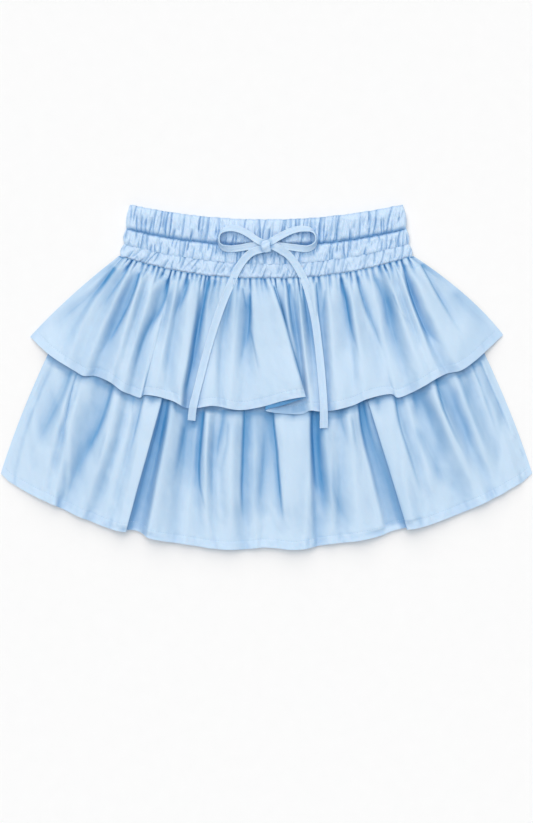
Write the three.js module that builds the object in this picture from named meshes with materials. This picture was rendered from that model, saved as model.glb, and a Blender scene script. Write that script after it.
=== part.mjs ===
// A two-tier ruffled skort with a shirred waist, lying flat with its front up.
// Millimetres, X to the right as seen from above, Y towards the waist, Z up, the floor at Z = 0.

import * as THREE from 'three';
import { mergeVertices } from 'three/addons/utils/BufferGeometryUtils.js';

// Cloth and how its layers lie on each other
const CLOTH = 1.2;
const GAP = 0.3;
const LAYER = CLOTH + GAP;
const LEVEL = { upperBack: 0, yokeBack: 1, shortsBack: 2, shortsFront: 3, yokeFront: 4, upperFront: 5 };
const BAND_LEVELS = 3;

// Waist lines across the front, each a shallow curve: height at the middle, rise at the sides, half width
const WAIST_LINE = {
  top: { mid: 190, rise: 18, half: 164, power: 2 },
  groove: { mid: 158, rise: 21, half: 168, power: 2 },
  stitch: { mid: 136.5, rise: 24.5, half: 171, power: 2 },
  seam: { mid: 118.5, rise: 27, half: 175, power: 2.2 },
};

// Shirring of the waist
const RIDGES = 44;
const COLUMNS_A_RIDGE = 3;
const RIDGE_HEIGHT = 1.8;
const RIDGE_PROFILE = [1, 0.55, 0];
const RIDGE_LEAN = 0.05;
const ROW_BULGE = 1.6;
const ROW_LEVELS = [0, 0.3, 0.7, 1];
const SIDE_BULGE = 2.2;

// Tiers
const UPPER_HALF = 177;
const LOWER_SEAM = { mid: -22, rise: 66, half: 255, power: 2 };
const YOKE_HALF = 170;
const SIDE_SLOPE = { waist: 10, below: 35 };
const UPPER_HEM_LIFT = 5.2;
const HEM_EXTRA = 0.5;
const FOLD_DEPTH = 1.3;
const STEPS_A_FOLD = 2;
const UPPER_LEVELS = [0, 0.07, 0.18, 0.33, 0.5, 0.67, 0.82, 0.935, 1];
const LOWER_LEVELS = [0, 0.08, 0.2, 0.36, 0.55, 0.74, 0.945, 1];
const HEM_START = 0.93;

// Folds of the upper tier from left to right. seam: x at the waist seam. hem, hemY: where it meets the hem.
// top, low: height above the lie of the cloth near the seam and at the hem. bow: sideways curve at the middle.
const UPPER_FOLDS = folds(['kind', 'seam', 'hem', 'hemY', 'top', 'low', 'bow'], [
  ['side', -177, -284, 49, 0, 0, -10],
  ['crest', -174.5, -265, 31, 3, 1.5, -9],
  ['valley', -171, -252, 21.5, 0.5, 0.8, -11],
  ['crest', -167, -238, 13, 4.5, 2.5, -11],
  ['valley', -162, -228, 7, 1.5, 2, -7],
  ['crest', -157, -219, 2, 4.5, 3.5, -3],
  ['valley', -151, -206, 2, 0, 0.5, 0],
  ['crest', -144, -188, -5, 5, 5, 0],
  ['valley', -137, -181, -10, 3, 3.8, 0],
  ['crest', -130, -173, -16, 5, 4, 0],
  ['valley', -118, -162, -20.5, 0, 1, 0],
  ['crest', -112, -151, -24, 1.5, 4, 0],
  ['valley', -109, -147, -21, 1.5, 2, 0],
  ['crest', -104, -134, -22, 5, 3.5, 0],
  ['valley', -96, -122, -25, 2, 2.5, -2],
  ['crest', -87, -110, -29, 5.5, 4.5, 0],
  ['crest', -79, -103, -33, 4.5, 5, 0],
  ['valley', -73, -96, -36.5, 0, 0, 0],
  ['crest', -65, -83, -36.5, 3.5, 2, 0],
  ['crest', -54, -66, -34, 4, 4, 0],
  ['valley', -43, -55, -35, 1.5, 3, -2],
  ['crest', -33, -44, -37.5, 4, 4, 0],
  ['valley', -23, -31, -39, 0, 2, 4],
  ['crest', -17, -5, -35, 4.5, 3.5, -2],
  ['crest', -6, 18, -28.5, 6, 6.5, 0],
  ['crest', 3, 37, -24.5, 5.5, 8, 0],
  ['turn', 8.5, 47, -23.5, 3.6, 6.4, 0],
  ['under', 11.5, 24, -32, 2.8, 4.6, 0],
  ['turn', 14, -1, -39.5, 2.2, 3, 0],
  ['under', 16, 24, -43.5, 1.6, 1.3, 0],
  ['crest', 20, 44, -43.5, 3.5, 1.2, 0],
  ['valley', 28, 49, -41, 0, 1.4, 0],
  ['crest', 36, 54, -39.5, 4, 3, 0],
  ['valley', 46, 61, -40.5, 0.5, 2.5, 0],
  ['crest', 55, 68, -41, 3, 3.5, 0],
  ['valley', 63, 75, -40, 0.5, 1.5, 0],
  ['crest', 74, 85, -38.5, 5, 4.5, 0],
  ['valley', 88, 106, -32.5, 0, 3, 2],
  ['crest', 98, 120, -26, 5, 5, 0],
  ['valley', 109, 151, -20, 0.5, 1.5, -4],
  ['crest', 122, 157, -24, 2.5, 3, 0],
  ['valley', 133, 173, -18.5, 0, 1.5, 0],
  ['crest', 141, 190, -9.5, 5, 5.5, 0],
  ['valley', 148, 199, -4, 2.5, 4.5, 0],
  ['crest', 155, 207, 0.5, 4.5, 4, -1],
  ['valley', 162, 217, 5, 0, 1, -5],
  ['crest', 168, 233, 8.5, 5.5, 4, -2],
  ['valley', 172, 250, 20, 1.5, 2, 6],
  ['crest', 175, 267, 35, 3, 1.5, 12],
  ['side', 177, 285, 51.5, 0, 0, 16],
]);

// Folds of the lower tier from left to right, in the same columns; its seam lies under the upper hem
const LOWER_FOLDS = folds(['kind', 'seam', 'hem', 'hemY', 'top', 'low', 'bow'], [
  ['side', -255, -319.6, -115, 0, 0, 0],
  ['crest', -250, -311, -124, 2.5, 1.5, -6],
  ['valley', -246, -306, -127, 1.2, 1, -8],
  ['crest', -241, -301, -130, 4, 2.2, -9],
  ['valley', -229, -289, -137, 0, 0.8, -6],
  ['crest', -222, -271, -146, 3.5, 3, -4],
  ['valley', -217, -264, -149, 2, 2.6, -3],
  ['crest', -211, -255, -153, 5, 4, -3],
  ['valley', -184, -246, -157, 0, 1, 4],
  ['crest', -171, -225, -167, 5.5, 4, 6],
  ['valley', -161, -212, -172, 2.5, 2, 6],
  ['crest', -154, -200, -177, 4, 3, 5],
  ['valley', -147, -190, -180.5, 3, 2.4, 3],
  ['crest', -137, -178, -184, 6, 5.5, 2],
  ['turn', -119.5, -168.5, -185, 4.6, 5, 0],
  ['under', -122, -174, -183, 2.6, 2.6, 0],
  ['valley', -117, -160, -183, 0.8, 0.6, 0],
  ['valley', -114, -149.5, -186.5, 0.8, 0.6, 0],
  ['crest', -107, -142, -193.5, 6, 5.5, 0],
  ['crest', -98, -125, -197.5, 4.5, 4.4, 0],
  ['valley', -86, -108, -200, 0, 2.4, -2],
  ['crest', -80, -98, -201.5, 1, 3.5, 0],
  ['valley', -75, -80, -204.3, 1, 1.5, -5],
  ['crest', -67, -68, -206.3, 6, 3.5, -5],
  ['valley', -58, -60, -207, 2, 3.2, -5],
  ['crest', -50, -53, -207.7, 3.4, 4, -5],
  ['crest', -37, -43, -208, 6, 4.5, -2],
  ['valley', -23, -25, -207.6, 0, 0.8, -2],
  ['crest', -12, -14, -206.5, 3, 2.5, -1],
  ['valley', 1, -4, -205.5, 0, 1.8, 2],
  ['valley', 9, 12, -206.3, 1.2, 2.4, 0],
  ['crest', 20, 28, -208, 6, 4.5, 0],
  ['crest', 35, 42, -207.7, 6.5, 4.5, 0],
  ['crest', 50, 53, -206, 5, 3.8, 0],
  ['valley', 56, 62, -203.6, 0, 1, 0],
  ['crest', 67, 78, -201.2, 5.5, 3.5, 3],
  ['valley', 84, 92, -199.8, 3, 1.6, 0],
  ['crest', 97, 113, -197, 5.5, 5, 0],
  ['valley', 107, 137, -190, 1.5, 1.5, -4],
  ['valley', 112, 152, -184, 0, 0.6, -4],
  ['under', 117, 173, -179.5, 2, 2.4, 0],
  ['turn', 115.5, 169, -182, 4.6, 5, 0],
  ['crest', 124, 180, -181, 6.5, 6, 0],
  ['crest', 142, 192, -178, 6, 4, 0],
  ['valley', 151, 203, -174.5, 2.5, 2.6, 0],
  ['crest', 159, 212, -171, 3.8, 2.8, 0],
  ['valley', 174, 238, -161, 0, 1, -3],
  ['crest', 187, 262, -150.5, 6.5, 4, -2],
  ['valley', 204, 272, -145.5, 0, 2.2, -2],
  ['crest', 217, 282, -140.5, 5, 3, 0],
  ['valley', 229, 293, -134, 0, 1.2, 2],
  ['crest', 239, 303, -128.5, 4.5, 2.5, 4],
  ['valley', 246, 309, -125, 1, 0.8, 4],
  ['side', 255, 320, -115, 0, 0, 0],
]);

// Back hems: height at the middle, rise to the sides
const UPPER_BACK_HEM = { mid: -33, rise: 83, half: 284, power: 2.4 };
const LOWER_BACK_HEM = { mid: -203, rise: 89, half: 319.6, power: 2 };
const BACK_COLUMNS = 24;

// Inner shorts
const SHORTS_HALF = 148;
const CROTCH_Y = -75;
const LEG_HEM_Y = -140;
const LEG_INNER = 9;
const LEG_OUTER = 190;

// Tie: a flat self-fabric band
const TIE_WIDTH = 9.5;
const TIE_THICK = 1.6;
const LOOP_WIDTH = 7;
const TIE_SIDES = 8;
const KNOT = { x: 2, y: 157, z: 13.2, halfX: 8.4, halfY: 7.4, halfZ: 2.9 };

const TAIL_LEFT = points([
  [-7.5, 156, 12.4], [-19, 150, 11.2], [-29, 140, 10.8], [-36, 129, 10.9], [-44, 112, 12], [-52, 90, 14.8],
  [-60, 66, 15.6], [-68, 40, 15.8], [-75, 16, 16.7], [-80.5, -4, 18.1], [-85.5, -24, 18.4], [-88, -36, 17.6],
  [-89.5, -50.5, 12.6],
]);
const TAIL_RIGHT = points([
  [11.5, 158, 12.4], [25, 151, 11], [36, 139, 11], [43, 127, 11.2], [49.5, 112, 11.8], [55.5, 92, 13.4],
  [60, 66, 13.9], [63.5, 40, 14.3], [66, 16, 15.8], [68, -8, 18.6], [69, -30, 20.3], [69, -41, 20],
  [69, -61, 15.2],
]);
const LOOP_LEFT = points([
  [-7, 161, 13.4], [-16, 168, 12.4], [-29, 178.5, 11.2], [-43, 182.5, 11.1], [-54, 174, 11.3],
  [-57.5, 163.5, 11.1], [-52, 154, 11.4], [-42, 150.3, 12.5], [-26, 151.8, 13.2], [-9, 156.6, 14.4],
]);
const LOOP_RIGHT = points([
  [11, 162.4, 14], [19, 169, 12.6], [32, 178.5, 11.3], [45, 181.5, 11.1], [55.5, 175, 11.4],
  [60, 165, 11.1], [55, 156, 11.5], [43, 152.4, 12.6], [28, 154.8, 13.4], [13, 158.9, 15.1],
]);

const CLOTH_BLUE = new THREE.MeshStandardMaterial({ color: 0xb4d2f0, roughness: 0.62, metalness: 0 });
const TIE_BLUE = new THREE.MeshStandardMaterial({ color: 0xbcd8f4, roughness: 0.58, metalness: 0 });

function folds(columns, rows) {
  return rows.map((row) => Object.fromEntries(columns.map((name, i) => [name, row[i]])));
}

function points(rows) {
  return rows.map(([x, y, z]) => new THREE.Vector3(x, y, z));
}

function mix(a, b, t) {
  return a + (b - a) * t;
}

function smooth(from, to, value) {
  return THREE.MathUtils.smoothstep(value, from, to);
}

function lineY(line, x) {
  return line.mid + line.rise * (Math.abs(x) / line.half) ** line.power;
}

// How far in from a side seam the cloth is still rising from the back to its own layer
function sideRise(level, distance) {
  const width = mix(SIDE_SLOPE.waist, SIDE_SLOPE.below, smooth(0, 0.5, level));
  return smooth(0, width, distance);
}

// Height of the middle of the cloth on a layer
function middle(level) {
  return level * LAYER + CLOTH / 2;
}

// Closed solid from two grids of points that share their rows and columns, the first one on top
function closedWall(top, bottom) {
  const rows = top.length;
  const columns = top[0].length;
  const positions = [];
  const index = [];
  for (const grid of [top, bottom]) {
    for (const row of grid) {
      for (const p of row) positions.push(p.x, p.y, p.z);
    }
  }
  const at = (side, r, c) => side * rows * columns + r * columns + c;
  const quad = (a, b, c, d) => index.push(a, b, c, a, c, d);
  for (let r = 0; r < rows - 1; r += 1) {
    for (let c = 0; c < columns - 1; c += 1) {
      quad(at(0, r, c), at(0, r + 1, c), at(0, r + 1, c + 1), at(0, r, c + 1));
      quad(at(1, r, c), at(1, r, c + 1), at(1, r + 1, c + 1), at(1, r + 1, c));
    }
  }
  for (let c = 0; c < columns - 1; c += 1) {
    quad(at(0, 0, c), at(0, 0, c + 1), at(1, 0, c + 1), at(1, 0, c));
    quad(at(0, rows - 1, c + 1), at(0, rows - 1, c), at(1, rows - 1, c), at(1, rows - 1, c + 1));
  }
  for (let r = 0; r < rows - 1; r += 1) {
    quad(at(0, r + 1, 0), at(0, r, 0), at(1, r, 0), at(1, r + 1, 0));
    quad(at(0, r, columns - 1), at(0, r + 1, columns - 1), at(1, r + 1, columns - 1), at(1, r, columns - 1));
  }
  return solid(positions, index);
}

function solid(positions, index) {
  const geometry = new THREE.BufferGeometry();
  geometry.setAttribute('position', new THREE.Float32BufferAttribute(positions, 3));
  geometry.setIndex(index);
  geometry.computeVertexNormals();
  return geometry;
}

function piece(name, geometry, material = CLOTH_BLUE) {
  const mesh = new THREE.Mesh(geometry, material);
  mesh.name = name;
  return mesh;
}

// Cloth laid flat: a grid of plan points with the height of its underside
function flatCloth(grid, thickness = CLOTH) {
  const top = grid.map((row) => row.map((p) => new THREE.Vector3(p.x, p.y, p.z + thickness)));
  return closedWall(top, grid);
}

// Where one fold's line lies at a level between the seam (0) and the hem (1)
function foldPlace(tier, fold, level) {
  const x = mix(fold.seam, fold.hem, level) + fold.bow * 4 * level * (1 - level);
  const y = mix(lineY(tier.seam, fold.seam) - GAP / 2, fold.hemY, level);
  return { x, y };
}

// Middle of the tier's cloth, one row of points for each level, smooth through every fold
function tierMiddle(tier) {
  return tier.levels.map((level) => {
    const left = foldPlace(tier, tier.folds[0], level).x;
    const right = foldPlace(tier, tier.folds[tier.folds.length - 1], level).x;
    const knots = tier.folds.map((fold) => {
      const { x, y } = foldPlace(tier, fold, level);
      const inside = sideRise(tier.underWaist ? level : 1, Math.min(x - left, right - x));
      const height = FOLD_DEPTH * mix(fold.top, fold.low, smooth(0.35, 1, level)) * tier.gather(level);
      const lie = mix(tier.sideLie(level), tier.lie(level), inside);
      return new THREE.Vector3(x, y, lie + height);
    });
    const curve = new THREE.CatmullRomCurve3(knots, false, 'centripetal');
    const count = (knots.length - 1) * STEPS_A_FOLD;
    return Array.from({ length: count + 1 }, (_, i) => curve.getPoint(i / count));
  });
}

// The cloth's two faces, half its thickness to each side of the middle
function tierWall(tier) {
  const grid = tierMiddle(tier);
  const rows = grid.length;
  const columns = grid[0].length;
  const faces = [[], []];
  for (let r = 0; r < rows; r += 1) {
    const half = (CLOTH + (tier.levels[r] > HEM_START ? HEM_EXTRA : 0)) / 2;
    const pair = [[], []];
    for (let c = 0; c < columns; c += 1) {
      const across = new THREE.Vector3().subVectors(
        grid[r][Math.min(c + 1, columns - 1)],
        grid[r][Math.max(c - 1, 0)],
      );
      const normal = new THREE.Vector3(-across.z, 0, across.x).normalize();
      pair[0].push(grid[r][c].clone().addScaledVector(normal, half));
      pair[1].push(grid[r][c].clone().addScaledVector(normal, -half));
    }
    faces[0].push(pair[0]);
    faces[1].push(pair[1]);
  }
  return closedWall(faces[0], faces[1]);
}

function upperTierFront() {
  return tierWall({
    folds: UPPER_FOLDS,
    seam: WAIST_LINE.seam,
    underWaist: true,
    levels: UPPER_LEVELS,
    gather: (level) => mix(0.3, 1, smooth(0, 0.25, level)),
    sideLie: () => middle(LEVEL.yokeBack),
    lie: (level) => middle(LEVEL.upperFront) + UPPER_HEM_LIFT * smooth(0.55, 0.9, level),
  });
}

function lowerTierFront() {
  const sideDrop = middle(LEVEL.shortsBack) - middle(LEVEL.yokeBack);
  return tierWall({
    folds: LOWER_FOLDS,
    seam: LOWER_SEAM,
    levels: LOWER_LEVELS,
    gather: (level) => mix(0.1, 1, smooth(0, 0.3, level)),
    sideLie: (level) => middle(LEVEL.shortsBack) - sideDrop * smooth(0.11, 0.3, level),
    lie: (level) => mix(middle(LEVEL.yokeFront), middle(LEVEL.yokeBack), smooth(0.66, 0.98, level)),
  });
}

// A plain panel between two curved lines, with the height of its underside worked out by a function
function plainPanel(panel) {
  return panel.levels.map((level) => {
    return Array.from({ length: BACK_COLUMNS + 1 }, (_, i) => {
      const side = (2 * i) / BACK_COLUMNS - 1;
      const xTop = side * panel.topHalf;
      const xFoot = side * panel.footHalf;
      const x = mix(xTop, xFoot, level) + Math.sign(side) * (panel.bow ?? 0) * 4 * level * (1 - level) * side ** 4;
      const y = mix(lineY(panel.top, xTop) - GAP / 2, panel.footY(xFoot), level);
      return new THREE.Vector3(x, y, panel.under(level, x, side));
    });
  });
}

function upperTierBack() {
  return flatCloth(plainPanel({
    top: WAIST_LINE.seam,
    topHalf: UPPER_HALF,
    footHalf: UPPER_BACK_HEM.half,
    bow: 10,
    footY: (x) => lineY(UPPER_BACK_HEM, x),
    levels: [0, 0.25, 0.5, 0.75, 1],
    under: () => 0,
  }));
}

function yokePanel(front) {
  const inner = (front ? LEVEL.yokeFront : LEVEL.yokeBack) * LAYER;
  const edge = (front ? LEVEL.shortsBack : LEVEL.yokeBack) * LAYER;
  return flatCloth(plainPanel({
    top: WAIST_LINE.seam,
    topHalf: YOKE_HALF,
    footHalf: LOWER_SEAM.half,
    footY: (x) => lineY(LOWER_SEAM, x) + GAP / 2,
    levels: [0, 0.33, 0.67, 1],
    under: (level, x, side) => {
      const half = mix(YOKE_HALF, LOWER_SEAM.half, level);
      return mix(edge, inner, sideRise(level, half * (1 - Math.abs(side))));
    },
  }));
}

function lowerTierBack() {
  return flatCloth(plainPanel({
    top: LOWER_SEAM,
    topHalf: LOWER_SEAM.half,
    footHalf: LOWER_BACK_HEM.half,
    footY: (x) => lineY(LOWER_BACK_HEM, x),
    levels: [0, 0.11, 0.155, 0.2, 0.5, 1],
    under: (level) => LEVEL.yokeBack * LAYER * (1 - smooth(0.11, 0.2, level)),
  }));
}

// One row of the waist: a grid between two waist lines. ridged rows swell and carry leaning ridges on top
function waistRow(from, to, levels, columns, ridged, underside) {
  return levels.map((level) => {
    return Array.from({ length: columns + 1 }, (_, i) => {
      const place = (2 * i) / columns - 1;
      const lean = ridged ? RIDGE_LEAN * (0.5 - level) * (1 - place ** 2) : 0;
      const side = place + lean;
      const swell = Math.sin(Math.PI * level);
      const half = mix(from.half, to.half, level) + SIDE_BULGE * swell;
      const yFrom = lineY(from, side * from.half) - GAP / 2;
      const yTo = lineY(to, side * to.half) + GAP / 2;
      const uneven = 0.75 + 0.25 * Math.sin(i * 1.7 + from.mid);
      const ridge = RIDGE_PROFILE[(i + Math.round(from.mid)) % COLUMNS_A_RIDGE] * RIDGE_HEIGHT * uneven;
      const rise = ridged ? ROW_BULGE * (swell - 1) + ridge * (0.45 + 0.55 * swell) : 0;
      return new THREE.Vector3(side * half, mix(yFrom, yTo, level), underside + rise);
    });
  });
}

// A ridged face over a plain underside, joined by upright edges all round
function shirredWall(face, underside) {
  const rows = face.length;
  const columns = face[0].length;
  const positions = face.flat().flatMap((p) => [p.x, p.y, p.z]);
  const index = [];
  const rim = [];
  for (let r = 0; r < rows - 1; r += 1) {
    for (let c = 0; c < columns - 1; c += 1) {
      const a = r * columns + c;
      index.push(a, a + columns, a + columns + 1, a, a + columns + 1, a + 1);
    }
  }
  for (let c = 0; c < columns - 1; c += 1) rim.push([0, c]);
  for (let r = 0; r < rows - 1; r += 1) rim.push([r, columns - 1]);
  for (let c = columns - 1; c > 0; c -= 1) rim.push([rows - 1, c]);
  for (let r = rows - 1; r > 0; r -= 1) rim.push([r, 0]);
  const outline = rim.map(([r, c]) => face[r][c]);
  const first = positions.length / 3;
  for (const p of outline) positions.push(p.x, p.y, underside);
  for (let i = 0; i < rim.length; i += 1) {
    const next = (i + 1) % rim.length;
    const a = rim[i][0] * columns + rim[i][1];
    const b = rim[next][0] * columns + rim[next][1];
    index.push(a, b, first + next, a, first + next, first + i);
  }
  const flat = outline.map((p) => new THREE.Vector2(p.x, p.y));
  for (const [a, b, c] of THREE.ShapeUtils.triangulateShape(flat, [])) {
    index.push(first + a, first + c, first + b);
  }
  return solid(positions, index);
}

function waistFront(lines) {
  const under = BAND_LEVELS * LAYER;
  const top = 2 * BAND_LEVELS * LAYER - GAP;
  const columns = RIDGES * COLUMNS_A_RIDGE;
  const rows = [];
  for (let k = 0; k < lines.length - 1; k += 1) {
    const levels = k === 0 ? ROW_LEVELS : ROW_LEVELS.slice(1);
    rows.push(...waistRow(lines[k], lines[k + 1], levels, columns, true, top));
  }
  return shirredWall(rows, under);
}

function waistBack(lines) {
  const last = lines[lines.length - 1];
  return flatCloth(waistRow(lines[0], last, [0, 0.5, 1], BACK_COLUMNS, false, 0), BAND_LEVELS * LAYER - GAP);
}

// One panel of the shorts. hand is -1 for the left leg and 1 for the right
function shortsPanel(hand, level) {
  const inner = GAP / 2;
  const shape = new THREE.Shape();
  shape.moveTo(hand * inner, CROTCH_Y);
  const waistSteps = 8;
  for (let i = 0; i <= waistSteps; i += 1) {
    const x = mix(inner, SHORTS_HALF, i / waistSteps);
    shape.lineTo(hand * x, lineY(WAIST_LINE.seam, x) - GAP / 2);
  }
  shape.quadraticCurveTo(hand * (LEG_OUTER - 16), 40, hand * LEG_OUTER, LEG_HEM_Y + 8);
  shape.lineTo(hand * (LEG_INNER + 4), LEG_HEM_Y);
  shape.quadraticCurveTo(hand * LEG_INNER, CROTCH_Y - 14, hand * inner, CROTCH_Y);
  const geometry = new THREE.ExtrudeGeometry(shape, { depth: CLOTH, bevelEnabled: false, curveSegments: 8 });
  geometry.translate(0, 0, level * LAYER);
  return geometry;
}

// A flat tie along its route, with rounded edges
function tieAlong(route, width, steps) {
  const section = new THREE.Shape();
  for (let i = 0; i <= TIE_SIDES; i += 1) {
    const turn = (2 * Math.PI * i) / TIE_SIDES;
    const x = (TIE_THICK / 2) * Math.sign(Math.cos(turn)) * Math.abs(Math.cos(turn)) ** 0.6;
    const y = (width / 2) * Math.sin(turn);
    if (i === 0) section.moveTo(x, y);
    else section.lineTo(x, y);
  }
  const path = new THREE.CatmullRomCurve3(route, false, 'centripetal');
  return new THREE.ExtrudeGeometry(section, { steps, extrudePath: path, bevelEnabled: false });
}

function knot() {
  const ball = new THREE.SphereGeometry(1, 14, 8);
  ball.deleteAttribute('normal');
  ball.deleteAttribute('uv');
  const body = mergeVertices(ball, 1e-4);
  body.scale(KNOT.halfX, KNOT.halfY, KNOT.halfZ);
  body.translate(KNOT.x, KNOT.y, KNOT.z);
  return body;
}

const { top, groove, stitch, seam } = WAIST_LINE;
const skort = new THREE.Group();
skort.add(
  piece('waist_casing_front', waistFront([top, groove])),
  piece('waist_casing_back', waistBack([top, groove])),
  piece('waist_shirring_front', waistFront([groove, stitch, seam])),
  piece('waist_shirring_back', waistBack([groove, seam])),
  piece('upper_tier_front', upperTierFront()),
  piece('upper_tier_back', upperTierBack()),
  piece('yoke_front', yokePanel(true)),
  piece('yoke_back', yokePanel(false)),
  piece('lower_tier_front', lowerTierFront()),
  piece('lower_tier_back', lowerTierBack()),
);
for (const [name, hand] of [['left', -1], ['right', 1]]) {
  skort.add(piece(`shorts_${name}_front`, shortsPanel(hand, LEVEL.shortsFront)));
  skort.add(piece(`shorts_${name}_back`, shortsPanel(hand, LEVEL.shortsBack)));
}
skort.add(
  piece('bow_knot', knot(), TIE_BLUE),
  piece('bow_loop_left', tieAlong(LOOP_LEFT, LOOP_WIDTH, 20), TIE_BLUE),
  piece('bow_loop_right', tieAlong(LOOP_RIGHT, LOOP_WIDTH, 20), TIE_BLUE),
  piece('bow_tail_left', tieAlong(TAIL_LEFT, TIE_WIDTH, 26), TIE_BLUE),
  piece('bow_tail_right', tieAlong(TAIL_RIGHT, TIE_WIDTH, 26), TIE_BLUE),
);

export default skort;
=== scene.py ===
# A two-tier ruffled skort lying flat, front up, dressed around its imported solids:
# folded and gathered cloth, a shirred elastic waist, topstitched hems and a bow of self fabric.
# Metres, X to the right as seen from above, Y towards the waist, Z up, the floor at Z = 0.
import math

import bpy
import numpy as np
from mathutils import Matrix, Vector


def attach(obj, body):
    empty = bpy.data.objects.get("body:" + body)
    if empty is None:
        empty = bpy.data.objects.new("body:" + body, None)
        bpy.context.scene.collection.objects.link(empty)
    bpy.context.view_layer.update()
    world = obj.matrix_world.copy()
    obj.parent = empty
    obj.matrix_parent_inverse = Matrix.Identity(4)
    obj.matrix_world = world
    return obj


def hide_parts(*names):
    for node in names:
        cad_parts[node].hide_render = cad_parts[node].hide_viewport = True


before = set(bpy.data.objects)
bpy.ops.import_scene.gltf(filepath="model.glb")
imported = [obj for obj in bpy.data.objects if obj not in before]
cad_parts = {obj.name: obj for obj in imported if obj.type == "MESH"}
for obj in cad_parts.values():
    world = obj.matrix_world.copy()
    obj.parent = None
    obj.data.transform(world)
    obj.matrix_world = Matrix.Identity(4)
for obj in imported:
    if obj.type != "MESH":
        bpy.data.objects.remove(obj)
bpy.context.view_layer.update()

# Cloth, how its layers lie on each other, and how softly one settles on another
LAYER = 0.0015
SOLID_CLOTH = 0.0012
GAP = 0.0003
CLOTH = 0.0007
HEM_CLOTH = 0.00095
SETTLE = 0.0006
LEVEL = {
    "upper_back": 0, "yoke_back": 1, "shorts_back": 2,
    "shorts_front": 3, "yoke_front": 4, "upper_front": 5,
}
BAND_LEVELS = 3

# Waist lines across the front: height at the middle, rise at the sides, half width, power of the curve
WAIST_LINE = {
    "top": (0.19, 0.018, 0.164, 2),
    "groove": (0.158, 0.021, 0.168, 2),
    "stitch": (0.1365, 0.0245, 0.171, 2),
    "seam": (0.1185, 0.027, 0.175, 2.2),
}
ROW_BULGE = 0.0016
SIDE_BULGE = 0.0022
SIDE_RISE = 0.0024
CASING_CORNER = 0.0035
CORNER_FROM = 0.977
ELASTIC_PULL = 0.0013
WAIST_WRINKLE = 0.0005
BACK_TUCK = 0.0018
TUCKS_HALF = 0.19
TUCK_STRAY = 0.0016
TUCK_SHARP = (0.00045, 0.0008)
TUCK_SOFT = (0.001, 0.0024)

# Rows of tucks: how far apart they are, how they lean, how tall they stand, how the elastic lines above and
# below hold them, where down the row they may end, and how strong the shade painted in their tucks is
WAIST_ROWS = [
    {"seed": 11, "wide": (0.003, 0.0066), "lean": 0.003, "lean_left": 0.004, "tall": 0.0031,
     "held": (0.5, 1.0), "ends": (1.3, 1.3, 0.8, 0.6), "painted_shade": 0.68},
    {"seed": 12, "wide": (0.0026, 0.0052), "lean": 0.001, "lean_left": 0.003, "tall": 0.0025,
     "held": (1.0, 0.15), "ends": (1.3, 1.3, 0.8, 0.6), "painted_shade": 0.64},
    {"seed": 13, "wide": (0.0032, 0.0066), "lean": 0.004, "lean_left": 0.0115, "tall": 0.0013,
     "held": (0.15, 0.35), "ends": (1.3, 1.3, 0.9, 0.6), "painted_shade": 0.6},
]

# Tiers
UPPER_HALF = 0.177
YOKE_HALF = 0.17
LOWER_SEAM = (-0.022, 0.066, 0.255, 2)
UPPER_BACK_HEM = (-0.033, 0.083, 0.284, 2.4)
LOWER_BACK_HEM = (-0.203, 0.089, 0.3196, 2)
SIDE_SLOPE = (0.01, 0.035)
UPPER_HEM_LIFT = 0.0038
LOWER_HEM_LIFT = 0.003
FOLD_DEPTH = 1.5
CREASE_DEPTH = 0.85
CREASE_SWELL = 0.85
DEEPEST_CREASE = 0.0042
SOFT_WAVE = 0.0009
CRUMPLE = 0.00022
FINE_CRUMPLE = 0.00012
SCALLOP = 0.00055
CREASE_MARGIN = 0.05
PANEL_CREASE = 0.00022
YOKE_CREASE = 0.0001

# Hems
HEM_WIDTH = 0.0102
HEM_RAISE = 0.00006
STITCH_DIP = 0.00022
PUCKER = 0.0005
PUCKER_REACH = 0.006
STITCH_GROOVE = 0.0008
STITCH_LENGTH = 0.0022
STITCH_PITCH = 0.0031
THREAD_RADIUS = 0.0002

# Shorts
SHORTS_HALF = 0.148
LEG_HEM_Y = -0.14
LEG_HEM_RISE = 0.008
LEG_INNER = 0.013
LEG_OUTER = 0.188
SHORTS_CREASE = 0.0002

# Tie
TIE_WIDTH = 0.0095
TIE_THICK = 0.0013
LOOP_WIDTH = 0.0084
TAIL_LENGTH = 0.235
LOOP_LENGTH = 0.13
KNOT_PLACE = (-0.0002, 0.1572, 0.0142)
KNOT_HALF = (0.0057, 0.0073, 0.0036)
KNOT_RIPPLE = 0.0005
KNOT_SKEW = 0.0008
TIE_DENT = 0.0003
WRAP_SHADE = (0.0056, 0.012)

# Finishes
LIT_CLOTH = (0.578, 0.742, 0.937)
# The deep blue below is painted shade: the cloth's blue is blended towards it where folds, hems and ties
# close off the light
PAINTED_SHADE_BLUE = (0.075, 0.29, 0.58)
LIT_TIE = (0.6, 0.76, 0.945)
THREAD_BLUE = (0.36, 0.55, 0.78)
THREADS_A_METRE = 2600.0

# How strongly each cause paints shade into a tier's blue (broad swells paint it lighter), and how far it
# reaches
SHADE = {"sunk": 0.4, "crease": 0.82, "tuck": 0.35, "steep": 1.1, "broad": 0.11, "lit": 0.04, "seam": 0.55}
SEAM_SHADE_LONG = 0.0016
SUNK_FULL = 0.006
COVER_FROM = 0.0002
COVER_FULL = 0.003

# Camera and light
PHOTO = (533, 823)
METRES_A_PIXEL = 0.0012
LENS = 85.0
SENSOR = 36.0
VIEW_CENTRE = (0.0002, -0.0407)
CLOTH_PLANE = 0.01
WARM_LIGHT = (1.0, 0.875, 0.776)
SKY = (0.5, 0.78, 1.0)
SKY_STRENGTH = 0.38

FOLD = ("seam", "hem", "hem_y", "top", "low", "bow")
CREASE = ("depth", "left", "right", "open", "form", "start", "end", "path")


def folds(rows):
    return [dict(zip(FOLD, row)) for row in rows]


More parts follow.
